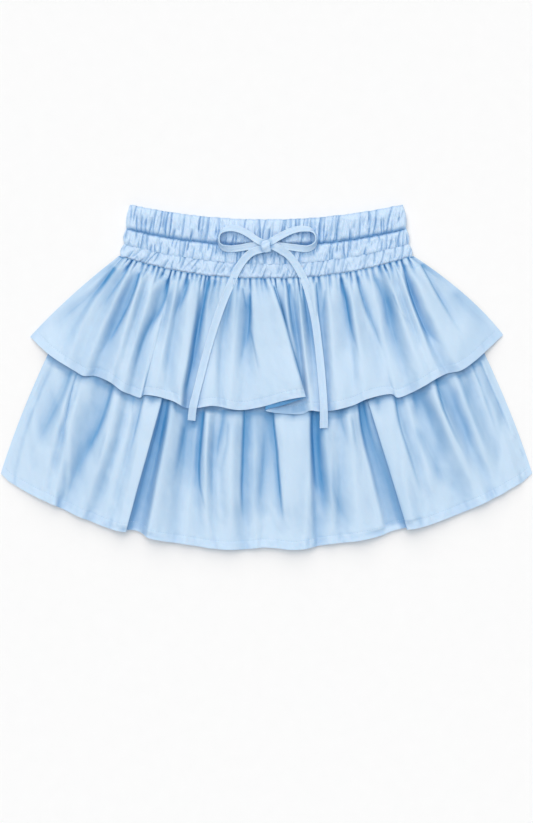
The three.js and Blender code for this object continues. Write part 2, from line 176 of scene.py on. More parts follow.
def creases(rows):
    """Crease readings with their sizes and paths in metres."""
    table = [dict(zip(CREASE, row)) for row in rows]
    for crease in table:
        for key in ("depth", "left", "right", "path"):
            crease[key] = np.array(crease[key]) / 1000
    return table


# Folds of each tier from left to right. seam: x at its seam. hem, hem_y: where it meets the hem.
# top, low: height above the lie of the cloth near the seam and at the hem. bow: sideways curve at the middle.
UPPER_FOLDS = folds([
    (-0.177, -0.284, 0.049, 0, 0, -0.005),
    (-0.1745, -0.265, 0.031, 0.003, 0.0015, -0.0055),
    (-0.171, -0.252, 0.0215, 0.0005, 0.0008, -0.008),
    (-0.167, -0.238, 0.013, 0.0045, 0.0025, -0.011),
    (-0.162, -0.228, 0.007, 0.0015, 0.002, -0.007),
    (-0.157, -0.219, 0.002, 0.0045, 0.0035, -0.003),
    (-0.151, -0.206, 0.002, 0, 0.0005, 0),
    (-0.144, -0.188, -0.005, 0.005, 0.005, 0),
    (-0.137, -0.181, -0.01, 0.003, 0.0038, 0),
    (-0.13, -0.173, -0.016, 0.005, 0.004, 0),
    (-0.118, -0.162, -0.0205, 0, 0.001, 0),
    (-0.112, -0.151, -0.024, 0.0015, 0.004, 0),
    (-0.109, -0.147, -0.021, 0.0015, 0.002, 0),
    (-0.104, -0.134, -0.022, 0.005, 0.0035, 0),
    (-0.096, -0.122, -0.025, 0.002, 0.0025, -0.002),
    (-0.087, -0.11, -0.029, 0.0055, 0.0045, 0),
    (-0.079, -0.103, -0.033, 0.0045, 0.005, 0),
    (-0.073, -0.096, -0.0365, 0, 0, 0),
    (-0.065, -0.083, -0.0365, 0.0035, 0.002, 0),
    (-0.054, -0.066, -0.034, 0.004, 0.004, 0),
    (-0.043, -0.055, -0.035, 0.0015, 0.003, -0.002),
    (-0.033, -0.044, -0.0375, 0.004, 0.004, 0),
    (-0.023, -0.031, -0.039, 0, 0.002, 0.004),
    (-0.017, -0.005, -0.035, 0.0045, 0.0035, -0.002),
    (-0.006, 0.018, -0.0285, 0.006, 0.0065, 0),
    (0.003, 0.037, -0.0245, 0.0055, 0.008, 0),
    (0.0085, 0.047, -0.0235, 0.0036, 0.0064, 0),
    (0.0115, 0.024, -0.032, 0.0028, 0.0046, 0),
    (0.014, -0.001, -0.0395, 0.0022, 0.003, 0),
    (0.016, 0.024, -0.0435, 0.0016, 0.0013, 0),
    (0.02, 0.044, -0.0435, 0.0035, 0.0012, 0),
    (0.028, 0.049, -0.041, 0, 0.0014, 0),
    (0.036, 0.054, -0.0395, 0.004, 0.003, 0),
    (0.046, 0.061, -0.0405, 0.0005, 0.0025, 0),
    (0.055, 0.068, -0.041, 0.003, 0.0035, 0),
    (0.063, 0.075, -0.04, 0.0005, 0.0015, 0),
    (0.074, 0.085, -0.0385, 0.005, 0.0045, 0),
    (0.088, 0.106, -0.0325, 0, 0.003, 0.002),
    (0.098, 0.12, -0.026, 0.005, 0.005, 0),
    (0.109, 0.151, -0.02, 0.0005, 0.0015, -0.004),
    (0.122, 0.157, -0.024, 0.0025, 0.003, 0),
    (0.133, 0.173, -0.0185, 0, 0.0015, 0),
    (0.141, 0.19, -0.0095, 0.005, 0.0055, 0),
    (0.148, 0.199, -0.004, 0.0025, 0.0045, 0),
    (0.155, 0.207, 0.0005, 0.0045, 0.004, -0.001),
    (0.162, 0.217, 0.005, 0, 0.001, -0.005),
    (0.168, 0.233, 0.0085, 0.0055, 0.004, -0.002),
    (0.172, 0.25, 0.02, 0.0015, 0.002, 0.003),
    (0.175, 0.267, 0.035, 0.003, 0.0015, 0.0065),
    (0.177, 0.285, 0.0515, 0, 0, 0.009),
])
LOWER_FOLDS = folds([
    (-0.255, -0.3196, -0.115, 0, 0, -0.0035),
    (-0.25, -0.311, -0.124, 0.0025, 0.0015, -0.008),
    (-0.246, -0.306, -0.127, 0.0012, 0.001, -0.008),
    (-0.241, -0.301, -0.13, 0.004, 0.0022, -0.009),
    (-0.229, -0.289, -0.137, 0, 0.0008, -0.006),
    (-0.222, -0.271, -0.146, 0.0035, 0.003, -0.004),
    (-0.217, -0.264, -0.149, 0.002, 0.0026, -0.003),
    (-0.211, -0.255, -0.153, 0.005, 0.004, -0.003),
    (-0.184, -0.246, -0.157, 0, 0.001, 0.004),
    (-0.171, -0.225, -0.167, 0.0055, 0.004, 0.006),
    (-0.161, -0.212, -0.172, 0.0025, 0.002, 0.006),
    (-0.154, -0.2, -0.177, 0.004, 0.003, 0.005),
    (-0.147, -0.19, -0.1805, 0.003, 0.0024, 0.003),
    (-0.137, -0.178, -0.184, 0.006, 0.0055, 0.002),
    (-0.1195, -0.1685, -0.185, 0.0046, 0.005, 0),
    (-0.122, -0.174, -0.183, 0.0026, 0.0026, 0),
    (-0.117, -0.16, -0.183, 0.0008, 0.0006, 0),
    (-0.114, -0.1495, -0.1865, 0.0008, 0.0006, 0),
    (-0.107, -0.142, -0.192, 0.006, 0.0055, 0),
    (-0.098, -0.125, -0.196, 0.0045, 0.0044, 0),
    (-0.086, -0.108, -0.1985, 0, 0.0024, -0.002),
    (-0.08, -0.098, -0.2, 0.001, 0.0035, 0),
    (-0.075, -0.08, -0.2028, 0.001, 0.0015, -0.005),
    (-0.067, -0.068, -0.2048, 0.006, 0.0035, -0.005),
    (-0.058, -0.06, -0.2055, 0.002, 0.0032, -0.005),
    (-0.05, -0.053, -0.2062, 0.0034, 0.004, -0.005),
    (-0.037, -0.043, -0.2065, 0.006, 0.0045, -0.002),
    (-0.023, -0.025, -0.2061, 0, 0.0008, -0.002),
    (-0.012, -0.014, -0.205, 0.003, 0.0025, -0.001),
    (0.001, -0.004, -0.204, 0, 0.0018, 0.002),
    (0.009, 0.012, -0.2048, 0.0012, 0.0024, 0),
    (0.02, 0.028, -0.2065, 0.006, 0.0045, 0),
    (0.035, 0.042, -0.2062, 0.0065, 0.0045, 0),
    (0.05, 0.053, -0.2045, 0.005, 0.0038, 0),
    (0.056, 0.062, -0.2021, 0, 0.001, 0),
    (0.067, 0.078, -0.1997, 0.0055, 0.0035, 0.003),
    (0.084, 0.092, -0.1983, 0.003, 0.0016, 0),
    (0.097, 0.113, -0.1955, 0.0055, 0.005, 0),
    (0.107, 0.137, -0.19, 0.0015, 0.0015, -0.004),
    (0.112, 0.152, -0.184, 0, 0.0006, -0.004),
    (0.117, 0.173, -0.1795, 0.002, 0.0024, 0),
    (0.1155, 0.169, -0.182, 0.0046, 0.005, 0),
    (0.124, 0.18, -0.181, 0.0065, 0.006, 0),
    (0.142, 0.192, -0.178, 0.006, 0.004, 0),
    (0.151, 0.203, -0.1745, 0.0025, 0.0026, 0),
    (0.159, 0.212, -0.171, 0.0038, 0.0028, 0),
    (0.174, 0.238, -0.161, 0, 0.001, -0.003),
    (0.187, 0.262, -0.1505, 0.0065, 0.004, -0.002),
    (0.204, 0.272, -0.1455, 0, 0.0022, -0.002),
    (0.217, 0.282, -0.1405, 0.005, 0.003, 0),
    (0.229, 0.293, -0.134, 0, 0.0012, 0.002),
    (0.239, 0.303, -0.1285, 0.0045, 0.0025, 0.004),
    (0.246, 0.309, -0.125, 0.001, 0.0008, 0.0055),
    (0.255, 0.32, -0.115, 0, 0, 0.0035),
])

# Creases of the tiers, in mm. depth: how deep, which also sets how strong their painted shade is.
# left, right: how far each side takes to rise out of it.
# open: how many times wider it ends. form: 1.5 a soft valley, 5 a flat-floored inverted fold.
# start, end: the part of its length over which it fades in and out. path: X and Y down the crease.
UPPER_CREASES = creases([
    (3.4, 6, 6, 1.8, 1.6, 0.05, 0.4,
     [(-181, 135), (-190, 123), (-204, 106), (-224, 90), (-244, 73), (-262, 58)]),
    (1.8, 3.5, 1.8, 2, 1.6, 0.05, 0.6, [(-165, 136), (-169, 126), (-178, 113), (-192, 94), (-207, 75)]),
    (3.4, 4, 1.3, 3, 1.6, 0.04, 0.6,
     [(-152, 128), (-156, 112), (-161, 98), (-166, 86), (-175, 69), (-187, 49), (-200, 28), (-210, 10)]),
    (1.8, 2.2, 1.6, 1.5, 1.6, 0.05, 0.6, [(-143, 130), (-147, 122), (-151, 114)]),
    (2.2, 3, 1.6, 2, 1.6, 0.05, 0.7, [(-123, 126), (-130, 117), (-142, 108)]),
    (4.2, 3.6, 2.2, 3.2, 1.7, 0.04, 0.35,
     [(-117, 121), (-119, 108), (-122, 95), (-129, 80), (-139, 64), (-148, 45), (-155, 22), (-163, -10)]),
    (1.2, 4, 1.4, 1.5, 1.6, 0.3, 0.3, [(-130, 58), (-136, 35), (-142, 10), (-148, -18)]),
    (2.8, 4, 2, 1.8, 1.6, 0.05, 0.7, [(-92, 120), (-96, 105), (-102, 92), (-110, 75), (-117, 58)]),
    (1.6, 1.4, 1.4, 1.5, 1.6, 0.05, 0.7, [(-79, 120), (-80, 114), (-82, 106)]),
    (4, 2.2, 3.2, 2.2, 1.7, 0.05, 0.14,
     [(-70, 121), (-73, 100), (-78, 75), (-84, 45), (-89, 15), (-95, -10), (-99, -30)]),
    (2.2, 2.2, 2.6, 1.6, 1.6, 0.05, 0.6, [(-60, 118), (-63, 105), (-68, 85), (-72, 60)]),
    (2.4, 3, 4, 1.6, 1.6, 0.05, 0.6, [(-39, 114), (-43, 95), (-48, 70), (-55, 35)]),
    (1.2, 2.5, 2.5, 1.5, 1.6, 0.1, 0.6, [(-33, 100), (-36, 78), (-40, 30)]),
    (1.6, 2, 1.5, 1.3, 1.6, 0.05, 0.3, [(-28, 108), (-25, 92), (-22, 80)]),
    (3.2, 3.2, 1.2, 3.6, 1.6, 0.08, 0.7,
     [(-20, 104), (-20, 85), (-21, 68), (-24, 50), (-28, 32), (-33, 12), (-38, -12)]),
    (1.4, 4, 1.2, 1, 1.6, 0.2, 0.5, [(-20, 62), (-17, 45), (-12, 22), (-7, -5)]),
    (3.6, 1.2, 3.2, 2, 1.7, 0.05, 0.15,
     [(8, 114), (13, 98), (19, 80), (26, 57), (32, 37), (38, 15), (43, -2), (47, -22)]),
    (3.6, 2.2, 2.4, 1.9, 1.8, 0.05, 0.4, [(27, 115), (28, 95), (30, 75), (33, 55), (37, 32)]),
    (1.3, 2, 2, 1.5, 1.6, 0.1, 0.5, [(37, 112), (38, 90), (41, 60)]),
    (3, 4, 2.4, 1.8, 1.6, 0.05, 0.6, [(44, 110), (47, 88), (50, 68), (55, 40), (59, 15)]),
    (2.6, 1.6, 2.6, 1.2, 1.6, 0.04, 0.4, [(60, 116), (62, 95), (64, 75), (65, 58)]),
    (1, 1.5, 2.5, 1.2, 1.6, 0.2, 0.3, [(70, 110), (69, 90), (66, 68)]),
    (3.8, 2.4, 2.4, 2.6, 1.6, 0.04, 0.6,
     [(89, 122), (91, 108), (95, 95), (98, 78), (102, 58), (108, 35), (114, 10)]),
    (3, 1.4, 3.6, 2, 1.6, 0.04, 0.6,
     [(109, 124), (112, 108), (118, 88), (124, 72), (130, 57), (138, 36), (146, 12)]),
    (3, 4.5, 4.5, 2.2, 1.6, 0.08, 0.4,
     [(127, 127), (134, 113), (142, 95), (148, 70), (153, 52), (158, 32), (165, 8), (172, -10)]),
    (2.2, 2, 1.3, 1.3, 1.6, 0.05, 0.4, [(141, 134), (147, 122), (149, 111)]),
    (1.2, 2.5, 1.4, 1.4, 1.6, 0.1, 0.5, [(150, 102), (158, 82), (168, 70), (179, 60)]),
    (1.6, 2, 2, 1.3, 1.6, 0.05, 0.6, [(153, 136), (157, 124), (161, 110)]),
    (3, 1.4, 3.4, 2.6, 1.6, 0.04, 0.5,
     [(164, 138), (168, 120), (175, 95), (182, 77), (189, 61), (198, 50), (212, 38), (224, 30)]),
    (3.2, 1.3, 7, 1.6, 1.6, 0.04, 0.5,
     [(185, 138), (191, 127), (199, 112), (207, 98), (216, 83), (226, 66), (238, 46)]),
    (2.2, 9, 9, 1.4, 1.6, 0.2, 0.4, [(222, 108), (238, 91), (253, 76), (266, 62)]),
])
LOWER_CREASES = creases([
    (3, 8, 6, 1.4, 1.6, 0.02, 0.5,
     [(-236, 8), (-241, -10), (-250, -30), (-263, -54), (-278, -82), (-288, -102)]),
    (1.6, 3, 1.2, 1, 1.6, 0.05, 0.4, [(-227, 6), (-234, -20), (-240, -48), (-248, -72)]),
    (3, 6, 6, 1, 1.6, 0.02, 0.8, [(-204, 4), (-202, -6), (-203, -20)]),
    (4.2, 4, 2.2, 3, 1.6, 0.02, 0.5,
     [(-184, -6), (-191, -32), (-198, -52), (-208, -72), (-219, -93), (-229, -116), (-240, -142)]),
    (1.4, 3, 1.2, 1.4, 1.6, 0.3, 0.4, [(-190, -60), (-198, -85), (-204, -110)]),
    (2.6, 7, 5, 0.6, 1.6, 0.02, 0.8, [(-161, -18), (-160, -32), (-161, -50)]),
    (1.8, 4, 1.3, 1, 1.6, 0.05, 0.5, [(-148, -24), (-154, -50), (-160, -75), (-166, -95)]),
    (2.4, 6, 6, 0.7, 1.6, 0.02, 0.8, [(-136, -20), (-137, -30), (-139, -42)]),
    (1.2, 5, 5, 1.3, 1.6, 0.3, 0.5, [(-173, -60), (-184, -98), (-194, -135)]),
    (5, 4.2, 4.2, 2, 5, 0.01, 0.04,
     [(-120, -24), (-126, -55), (-134, -88), (-142, -120), (-150, -152), (-158, -186)]),
    (2.8, 5, 6, 0.7, 1.6, 0.02, 0.8, [(-108, -27), (-107, -38), (-107, -50)]),
    (4.2, 13, 1.5, 1, 1.7, 0.02, 0.6,
     [(-75, -38), (-77, -60), (-79, -80), (-81, -105), (-80, -130), (-75, -152), (-66, -172)]),
    (2, 5, 5, 1.4, 1.6, 0.1, 0.6, [(-96, -55), (-101, -82), (-107, -112), (-113, -142)]),
    (2.6, 6, 6, 0.5, 1.7, 0.02, 0.6, [(-52, -38), (-53, -52), (-57, -75), (-61, -108)]),
    (1.6, 3, 3, 1.2, 1.6, 0.1, 0.6, [(-46, -50), (-48, -80), (-53, -105), (-58, -128)]),
    (3.4, 1.3, 6, 1.6, 1.6, 0.02, 0.3, [(-26, -38), (-27, -70), (-28, -100), (-29, -132), (-27, -178)]),
    (4.2, 9, 1.3, 1, 2.2, 0.02, 0.35, [(7, -38), (9, -60), (12, -85), (14, -112), (17, -145), (21, -182)]),
    (2.4, 4.5, 4.5, 1.5, 1.6, 0.3, 0.4, [(-2, -60), (-2, -90), (-4, -120), (-8, -150), (-11, -175)]),
    (2, 7, 7, 0.6, 1.6, 0.02, 0.8, [(33, -40), (33, -46), (34, -54)]),
    (4.1, 4.6, 4.6, 2, 4, 0.01, 0.4,
     [(58.5, -38), (59.5, -70), (62, -98), (66, -125), (73, -156), (79, -182)]),
    (2, 5, 5, 1.4, 1.6, 0.4, 0.4, [(76, -112), (83, -138), (90, -160), (98, -180)]),
    (2.8, 7, 6, 0.6, 1.6, 0.02, 0.8, [(87, -38), (89, -52), (95, -72), (101, -92)]),
    (1.2, 2.5, 2.5, 1, 1.6, 0.1, 0.6, [(103, -45), (107, -72), (112, -95)]),
    (5, 3.7, 3.7, 3.4, 5, 0.01, 0.04,
     [(113.5, -28), (118.5, -58), (125.5, -83), (134.5, -110), (142, -135), (149, -158), (155, -180)]),
    (2.8, 6, 6, 0.6, 1.6, 0.02, 0.8, [(134, -24), (134, -36), (136, -52)]),
    (2.4, 1.5, 4, 1.4, 1.6, 0.03, 0.6,
     [(155, -22), (158, -44), (162, -62), (170, -86), (180, -117), (191, -150)]),
    (3, 8, 8, 0.7, 1.6, 0.02, 0.8, [(179, -16), (180, -32), (184, -55)]),
    (2.8, 8, 8, 1.2, 1.6, 0.2, 0.4, [(178, -55), (188, -74), (198, -94), (209, -117), (222, -142)]),
    (4, 1.6, 8, 0.8, 1.7, 0.02, 0.7,
     [(203, 2), (207, -18), (212, -36), (221, -58), (232, -80), (243, -98)]),
    (2.6, 5, 6, 1.3, 1.6, 0.02, 0.5,
     [(231, 5), (238, -14), (247, -38), (257, -62), (267, -84), (278, -108)]),
    (2.2, 1.4, 3.6, 1.2, 1.6, 0.03, 0.6,
     [(247, 19), (252, 4), (259, -13), (266, -34), (275, -60), (284, -84)]),
    (1.6, 2.4, 1.4, 1, 1.6, 0.04, 0.3,
     [(256, 22), (263, 6), (271, -12), (279, -30), (289, -54), (304, -86)]),
    (1.2, 1.4, 1.4, 1, 1.6, 0.2, 0.3, [(295, -68), (299, -71), (302, -76)]),
    (1.2, 1.4, 1.4, 1, 1.6, 0.2, 0.3, [(304, -84), (308, -90), (311, -98)]),
])
# Patches of painted shade with no relief, where the fold or the hem above closes off the light, in the same
# columns.
UPPER_SHADE_PATCHES = creases([
    (4.4, 8, 9, 1, 5, 0.15, 0.12, [(52, -34), (42, -37), (32, -39), (18, -40.5), (5, -42), (-6, -43)]),
])
LOWER_SHADE_PATCHES = creases([
    (2.6, 7, 7, 0.8, 2, 0.02, 0.7, [(-50, -38), (-52, -60), (-56, -98)]),
    (2, 6, 6, 1, 2, 0.02, 0.7, [(-20, -38), (-22, -70), (-25, -110)]),
    (2.6, 6, 5, 1, 2, 0.02, 0.7, [(2, -42), (5, -75), (9, -120)]),
    (2.4, 6, 6, 0.6, 2, 0.02, 0.9, [(90, -33), (92, -44), (97, -60)]),
    (2, 9, 8, 1.2, 1.8, 0.3, 0.3, [(-13, -90), (-11, -130), (-8, -182)]),
    (1.7, 8, 8, 1.3, 1.8, 0.3, 0.4, [(-90, -62), (-88, -105), (-82, -158)]),
    (0.9, 7, 7, 1.3, 1.8, 0.3, 0.3, [(76, -100), (85, -138), (92, -176)]),
    (2.8, 4, 4, 1.6, 4, 0.02, 0.8, [(-121, -26), (-127, -58), (-135, -92)]),
    (2.6, 4.5, 4.5, 1.2, 4, 0.02, 0.8, [(59, -40), (60, -66), (63, -98)]),
    (2.8, 3.6, 3.6, 2.2, 4, 0.02, 0.8, [(114.5, -32), (119.5, -60), (128, -92)]),
])

# Routes of the tie's middle line, out of the wrap
TAIL_LEFT = [
    (-0.003, 0.1545, 0.0146), (-0.0105, 0.1527, 0.0145), (-0.0195, 0.1485, 0.0132), (-0.0275, 0.1405, 0.0116),
    (-0.034, 0.1305, 0.0112), (-0.0425, 0.112, 0.012), (-0.052, 0.09, 0.0142), (-0.0605, 0.066, 0.0152),
    (-0.0685, 0.04, 0.0156), (-0.075, 0.016, 0.0165), (-0.08, -0.004, 0.018), (-0.085, -0.024, 0.0184),
    (-0.0878, -0.036, 0.0179), (-0.0895, -0.0512, 0.0142),
]
TAIL_RIGHT = [
    (0.003, 0.1585, 0.0146), (0.0095, 0.157, 0.0148), (0.0175, 0.1528, 0.0142), (0.025, 0.1478, 0.0128),
    (0.032, 0.1405, 0.0116), (0.0402, 0.1275, 0.0112), (0.0475, 0.112, 0.0118), (0.0535, 0.091, 0.0134),
    (0.0588, 0.066, 0.0139), (0.0622, 0.04, 0.0143), (0.0648, 0.016, 0.0158), (0.0668, -0.008, 0.0186),
    (0.0684, -0.03, 0.0203), (0.0688, -0.042, 0.02), (0.069, -0.0605, 0.0166),
]
LOOP_LEFT = [
    (-0.001, 0.1605, 0.015), (-0.0065, 0.1622, 0.0156), (-0.0125, 0.1655, 0.0153), (-0.02, 0.171, 0.0142),
    (-0.028, 0.1755, 0.0134), (-0.035, 0.178, 0.013), (-0.0425, 0.1788, 0.0131), (-0.05, 0.1772, 0.0136),
    (-0.0553, 0.1722, 0.0142), (-0.0572, 0.166, 0.0144), (-0.0562, 0.1605, 0.0142), (-0.0523, 0.156, 0.0138),
    (-0.046, 0.1543, 0.0132), (-0.038, 0.1546, 0.0126), (-0.03, 0.1556, 0.0122), (-0.022, 0.157, 0.0122),
    (-0.014, 0.1582, 0.0126), (-0.004, 0.158, 0.0134),
]
LOOP_RIGHT = [
    (0.001, 0.1605, 0.015), (0.0065, 0.1632, 0.0156), (0.013, 0.1672, 0.0153), (0.02, 0.171, 0.0142),
    (0.0275, 0.1747, 0.0134), (0.035, 0.1772, 0.013), (0.043, 0.1784, 0.0131), (0.051, 0.1776, 0.0136),
    (0.0568, 0.174, 0.0142), (0.0596, 0.1685, 0.0144), (0.0594, 0.1628, 0.0142), (0.0562, 0.1575, 0.0138),
    (0.0505, 0.1545, 0.0132), (0.043, 0.1545, 0.0126), (0.035, 0.1556, 0.0122), (0.027, 0.1566, 0.012),
    (0.018, 0.1576, 0.012), (0.004, 0.1588, 0.013),
]

# Section of the tie: across in half widths, up in thicknesses. Its tilts: along it, degrees
TIE_SECTION = [
    (-1, 0), (-0.96, 0.5), (-0.85, 0.66), (-0.68, 0.3), (-0.3, 0.42), (0.2, 0.46), (0.66, 0.3), (0.85, 0.66),
    (0.96, 0.5), (1, 0), (0.97, -0.45), (0.85, -0.55), (0.4, -0.4), (-0.1, -0.4), (-0.5, -0.4),
    (-0.85, -0.55), (-0.97, -0.45),
]
FLAT = [(0, 0), (1, 0)]
STANDING = [(0, 5), (0.28, 14), (0.4, 36), (0.47, 78), (0.58, 80), (0.66, 46), (0.77, 14), (1, 3)]
STANDING_LEFT = [(along, -turn) for along, turn in STANDING]


def mix(a, b, t):
    return a + (b - a) * t


def smooth(start, end, value):
    t = np.clip((value - start) / (end - start), 0, 1)
    return t * t * (3 - 2 * t)


def line_y(line, x):
    mid, rise, half, power = line
    return mid + rise * (np.abs(x) / half) ** power


def middle(layer):
    return LEVEL[layer] * LAYER + SOLID_CLOTH / 2


def in_lattice(lattice, ix, iy, fx, fy):
    low = mix(lattice[iy, ix], lattice[iy, ix + 1], fx)
    high = mix(lattice[iy + 1, ix], lattice[iy + 1, ix + 1], fx)
    return mix(low, high, fy)


def soft_noise(x, y, cell, seed):
    """Smooth noise from -1 to 1 on a lattice of the given cell size (one number, or one each way)."""
    wide, long = cell if isinstance(cell, tuple) else (cell, cell)
    lattice = np.random.default_rng(seed).uniform(-1, 1, (257, 257))
    gx, gy = x / wide + 97.3, y / long + 61.7
    ix, iy = np.floor(gx).astype(int), np.floor(gy).astype(int)
    return in_lattice(lattice, ix % 256, iy % 256, smooth(0, 1, gx - ix), smooth(0, 1, gy - iy))


def through(knots, steps):
    """Smooth curves through rows of knots (rows, knots, 3), with that many steps between two knots."""
    first = 2 * knots[:, :1] - knots[:, 1:2]
    last = 2 * knots[:, -1:] - knots[:, -2:-1]
    p = np.concatenate([first, knots, last], axis=1)
    p0, p1, p2, p3 = p[:, :-3], p[:, 1:-2], p[:, 2:-1], p[:, 3:]
    d0, d1, d2 = (np.maximum(np.linalg.norm(b - a, axis=2, keepdims=True), 1e-7) ** 0.5
                  for a, b in ((p0, p1), (p1, p2), (p2, p3)))
    out = ((p1 - p0) / d0 - (p2 - p0) / (d0 + d1) + (p2 - p1) / d1) * d1
    into = ((p2 - p1) / d1 - (p3 - p1) / (d1 + d2) + (p3 - p2) / d2) * d1
    t = (np.arange(steps) / steps)[None, None, :, None]
    a, b, m, n = (v[:, :, None, :] for v in (p1, p2, out, into))
    points = (2 * t**3 - 3 * t**2 + 1) * a + (t**3 - 2 * t**2 + t) * m
    points = points + (3 * t**2 - 2 * t**3) * b + (t**3 - t**2) * n
    rows = points.reshape(knots.shape[0], -1, 3)
    return np.concatenate([rows, knots[:, -1:]], axis=1)


def upward_normals(grid):
    normal = np.cross(np.gradient(grid, axis=0), np.gradient(grid, axis=1))
    normal /= np.maximum(np.linalg.norm(normal, axis=2, keepdims=True), 1e-12)
    return normal * np.sign(normal[:, :, 2:].mean())


def unit(vectors):
    return vectors / np.linalg.norm(vectors, axis=-1, keepdims=True)


def piece_mesh(name, vertices, faces, sharp=50, depth=None):
    """A smooth mesh; depth is the painted shade at each of its points, 0 to 1."""
    mesh = bpy.data.meshes.new(name)
    mesh.from_pydata(np.reshape(vertices, (-1, 3)).tolist(), [], faces)
    mesh.polygons.foreach_set("use_smooth", [True] * len(mesh.polygons))
    mesh.set_sharp_from_angle(angle=math.radians(sharp))
    mesh.update()
    if depth is not None:
        layer = mesh.attributes.new("painted_fold_shade", "FLOAT", "POINT")
        layer.data.foreach_set("value", depth.reshape(-1).astype(np.float32))
    obj = bpy.data.objects.new(name, mesh)
    bpy.context.scene.collection.objects.link(obj)
    return obj


def shell(name, top, bottom, depth, sharp=50):
    """A closed thin shell between two grids of points that share their rows and columns."""
    rows, columns = top.shape[:2]
    below = rows * columns
    place = np.arange(below).reshape(rows, columns)
    corner = place[:-1, :-1].reshape(-1)
    upper = np.stack([corner, corner + columns, corner + columns + 1, corner + 1], axis=-1)
    rims = ((place[0, :-1], place[0, 1:]), (place[-1, 1:], place[-1, :-1]),
            (place[1:, 0], place[:-1, 0]), (place[:-1, -1], place[1:, -1]))
    faces = [upper, upper[:, ::-1] + below]
    faces += [np.stack([a, b, b + below, a + below], axis=-1) for a, b in rims]
    return piece_mesh(name, [top, bottom], np.concatenate(faces).tolist(), sharp, np.stack([depth, depth]))


def tube_faces(rings, sides, first=0):
    """Faces of a closed tube of rings of points, which are numbered from first on."""
    faces = []
    for start in range(first, first + (rings - 1) * sides, sides):
        for s in range(sides):
            a, b = start + s, start + (s + 1) % sides
            faces.append((a, b, b + sides, a + sides))
    faces.append(tuple(first + s for s in reversed(range(sides))))
    faces.append(tuple(first + (rings - 1) * sides + s for s in range(sides)))
    return faces


def closed_tube(name, rings, depth):
    return piece_mesh(name, rings, tube_faces(*rings.shape[:2]), 70, np.clip(depth, 0, 1))


def dress(obj, material, slot, *nodes):
    obj.data.materials.append(material)
    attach(obj, "root")
    if nodes:
        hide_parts(*nodes)
    return obj


def cut(obj):
    """Hands back the piece as it is."""
    return obj


# Tier fronts


def tier_rows():
    """Levels down a tier, close at the seam for its gathers and at the hem for its turned band."""
    seam = np.linspace(0, 0.12, 18, endpoint=False)
    body = np.linspace(0.12, 0.9, 40, endpoint=False)
    hem = np.linspace(0.9, 1, 24)
    return np.concatenate([seam, body, hem])[:, None]


def from_sides(x):
    return np.minimum(x - x[:, :1], x[:, -1:] - x)


def tier_lie(tier):
    """Middle of the cloth along its folds, and the place in the seam that each column comes from."""
    levels = tier_rows()
    seam, hem, hem_y, top, low, bow = (np.array([fold[key] for fold in tier["folds"]]) for key in FOLD)
    x = mix(seam, hem, levels) + bow * 4 * levels * (1 - levels)
    y = mix(line_y(tier["seam_line"], seam) + GAP, hem_y, levels)
    slope = mix(*SIDE_SLOPE, smooth(0, 0.5, levels) if tier["under_waist"] else 1)
    height = FOLD_DEPTH * mix(top, low, smooth(0.35, 1, levels)) * tier["gather"](levels)
    height = height * mix(0.3, 1, smooth(0, 0.045, from_sides(x)))
    z = mix(tier["side_lie"](levels), tier["lie"](levels), smooth(0, slope, from_sides(x))) + height
    lie = through(np.stack([x, y, z], axis=2), tier["steps"])
    places = np.interp(np.linspace(0, len(seam) - 1, lie.shape[1]), np.arange(len(seam)), seam)
    return lie, places


def beside(path, points):
    """Distance across a crease path (right side positive) and how far along it each point lies, 0 to 1."""
    starts, ends = path[:-1], path[1:]
    spans = np.linalg.norm(ends - starts, axis=1)
    travelled = np.concatenate([[0], np.cumsum(spans)])
    best = np.full(points.shape[:2], 1e9)
    across = np.zeros(points.shape[:2])
    along = np.zeros(points.shape[:2])
    for start, end, span, before in zip(starts, ends, spans, travelled):
        way = (end - start) / span
        offset = points - start
        run = np.clip(offset @ way, 0, span)
        gap = offset - run[:, :, None] * way
        distance = np.linalg.norm(gap, axis=2)
        near = distance < best
        side = np.where(way[0] * offset[:, :, 1] - way[1] * offset[:, :, 0] > 0, 1.0, -1.0)
        best = np.where(near, distance, best)
        across = np.where(near, distance * side, across)
        along = np.where(near, (before + run) / travelled[-1], along)
    return across, along


def curved(path, steps=6):
    knots = np.concatenate([path, np.zeros((len(path), 1))], axis=1)[None]
    return through(knots, steps)[0, :, :2]


def crease_length(path):
    return np.linalg.norm(np.diff(path, axis=0), axis=1).sum()


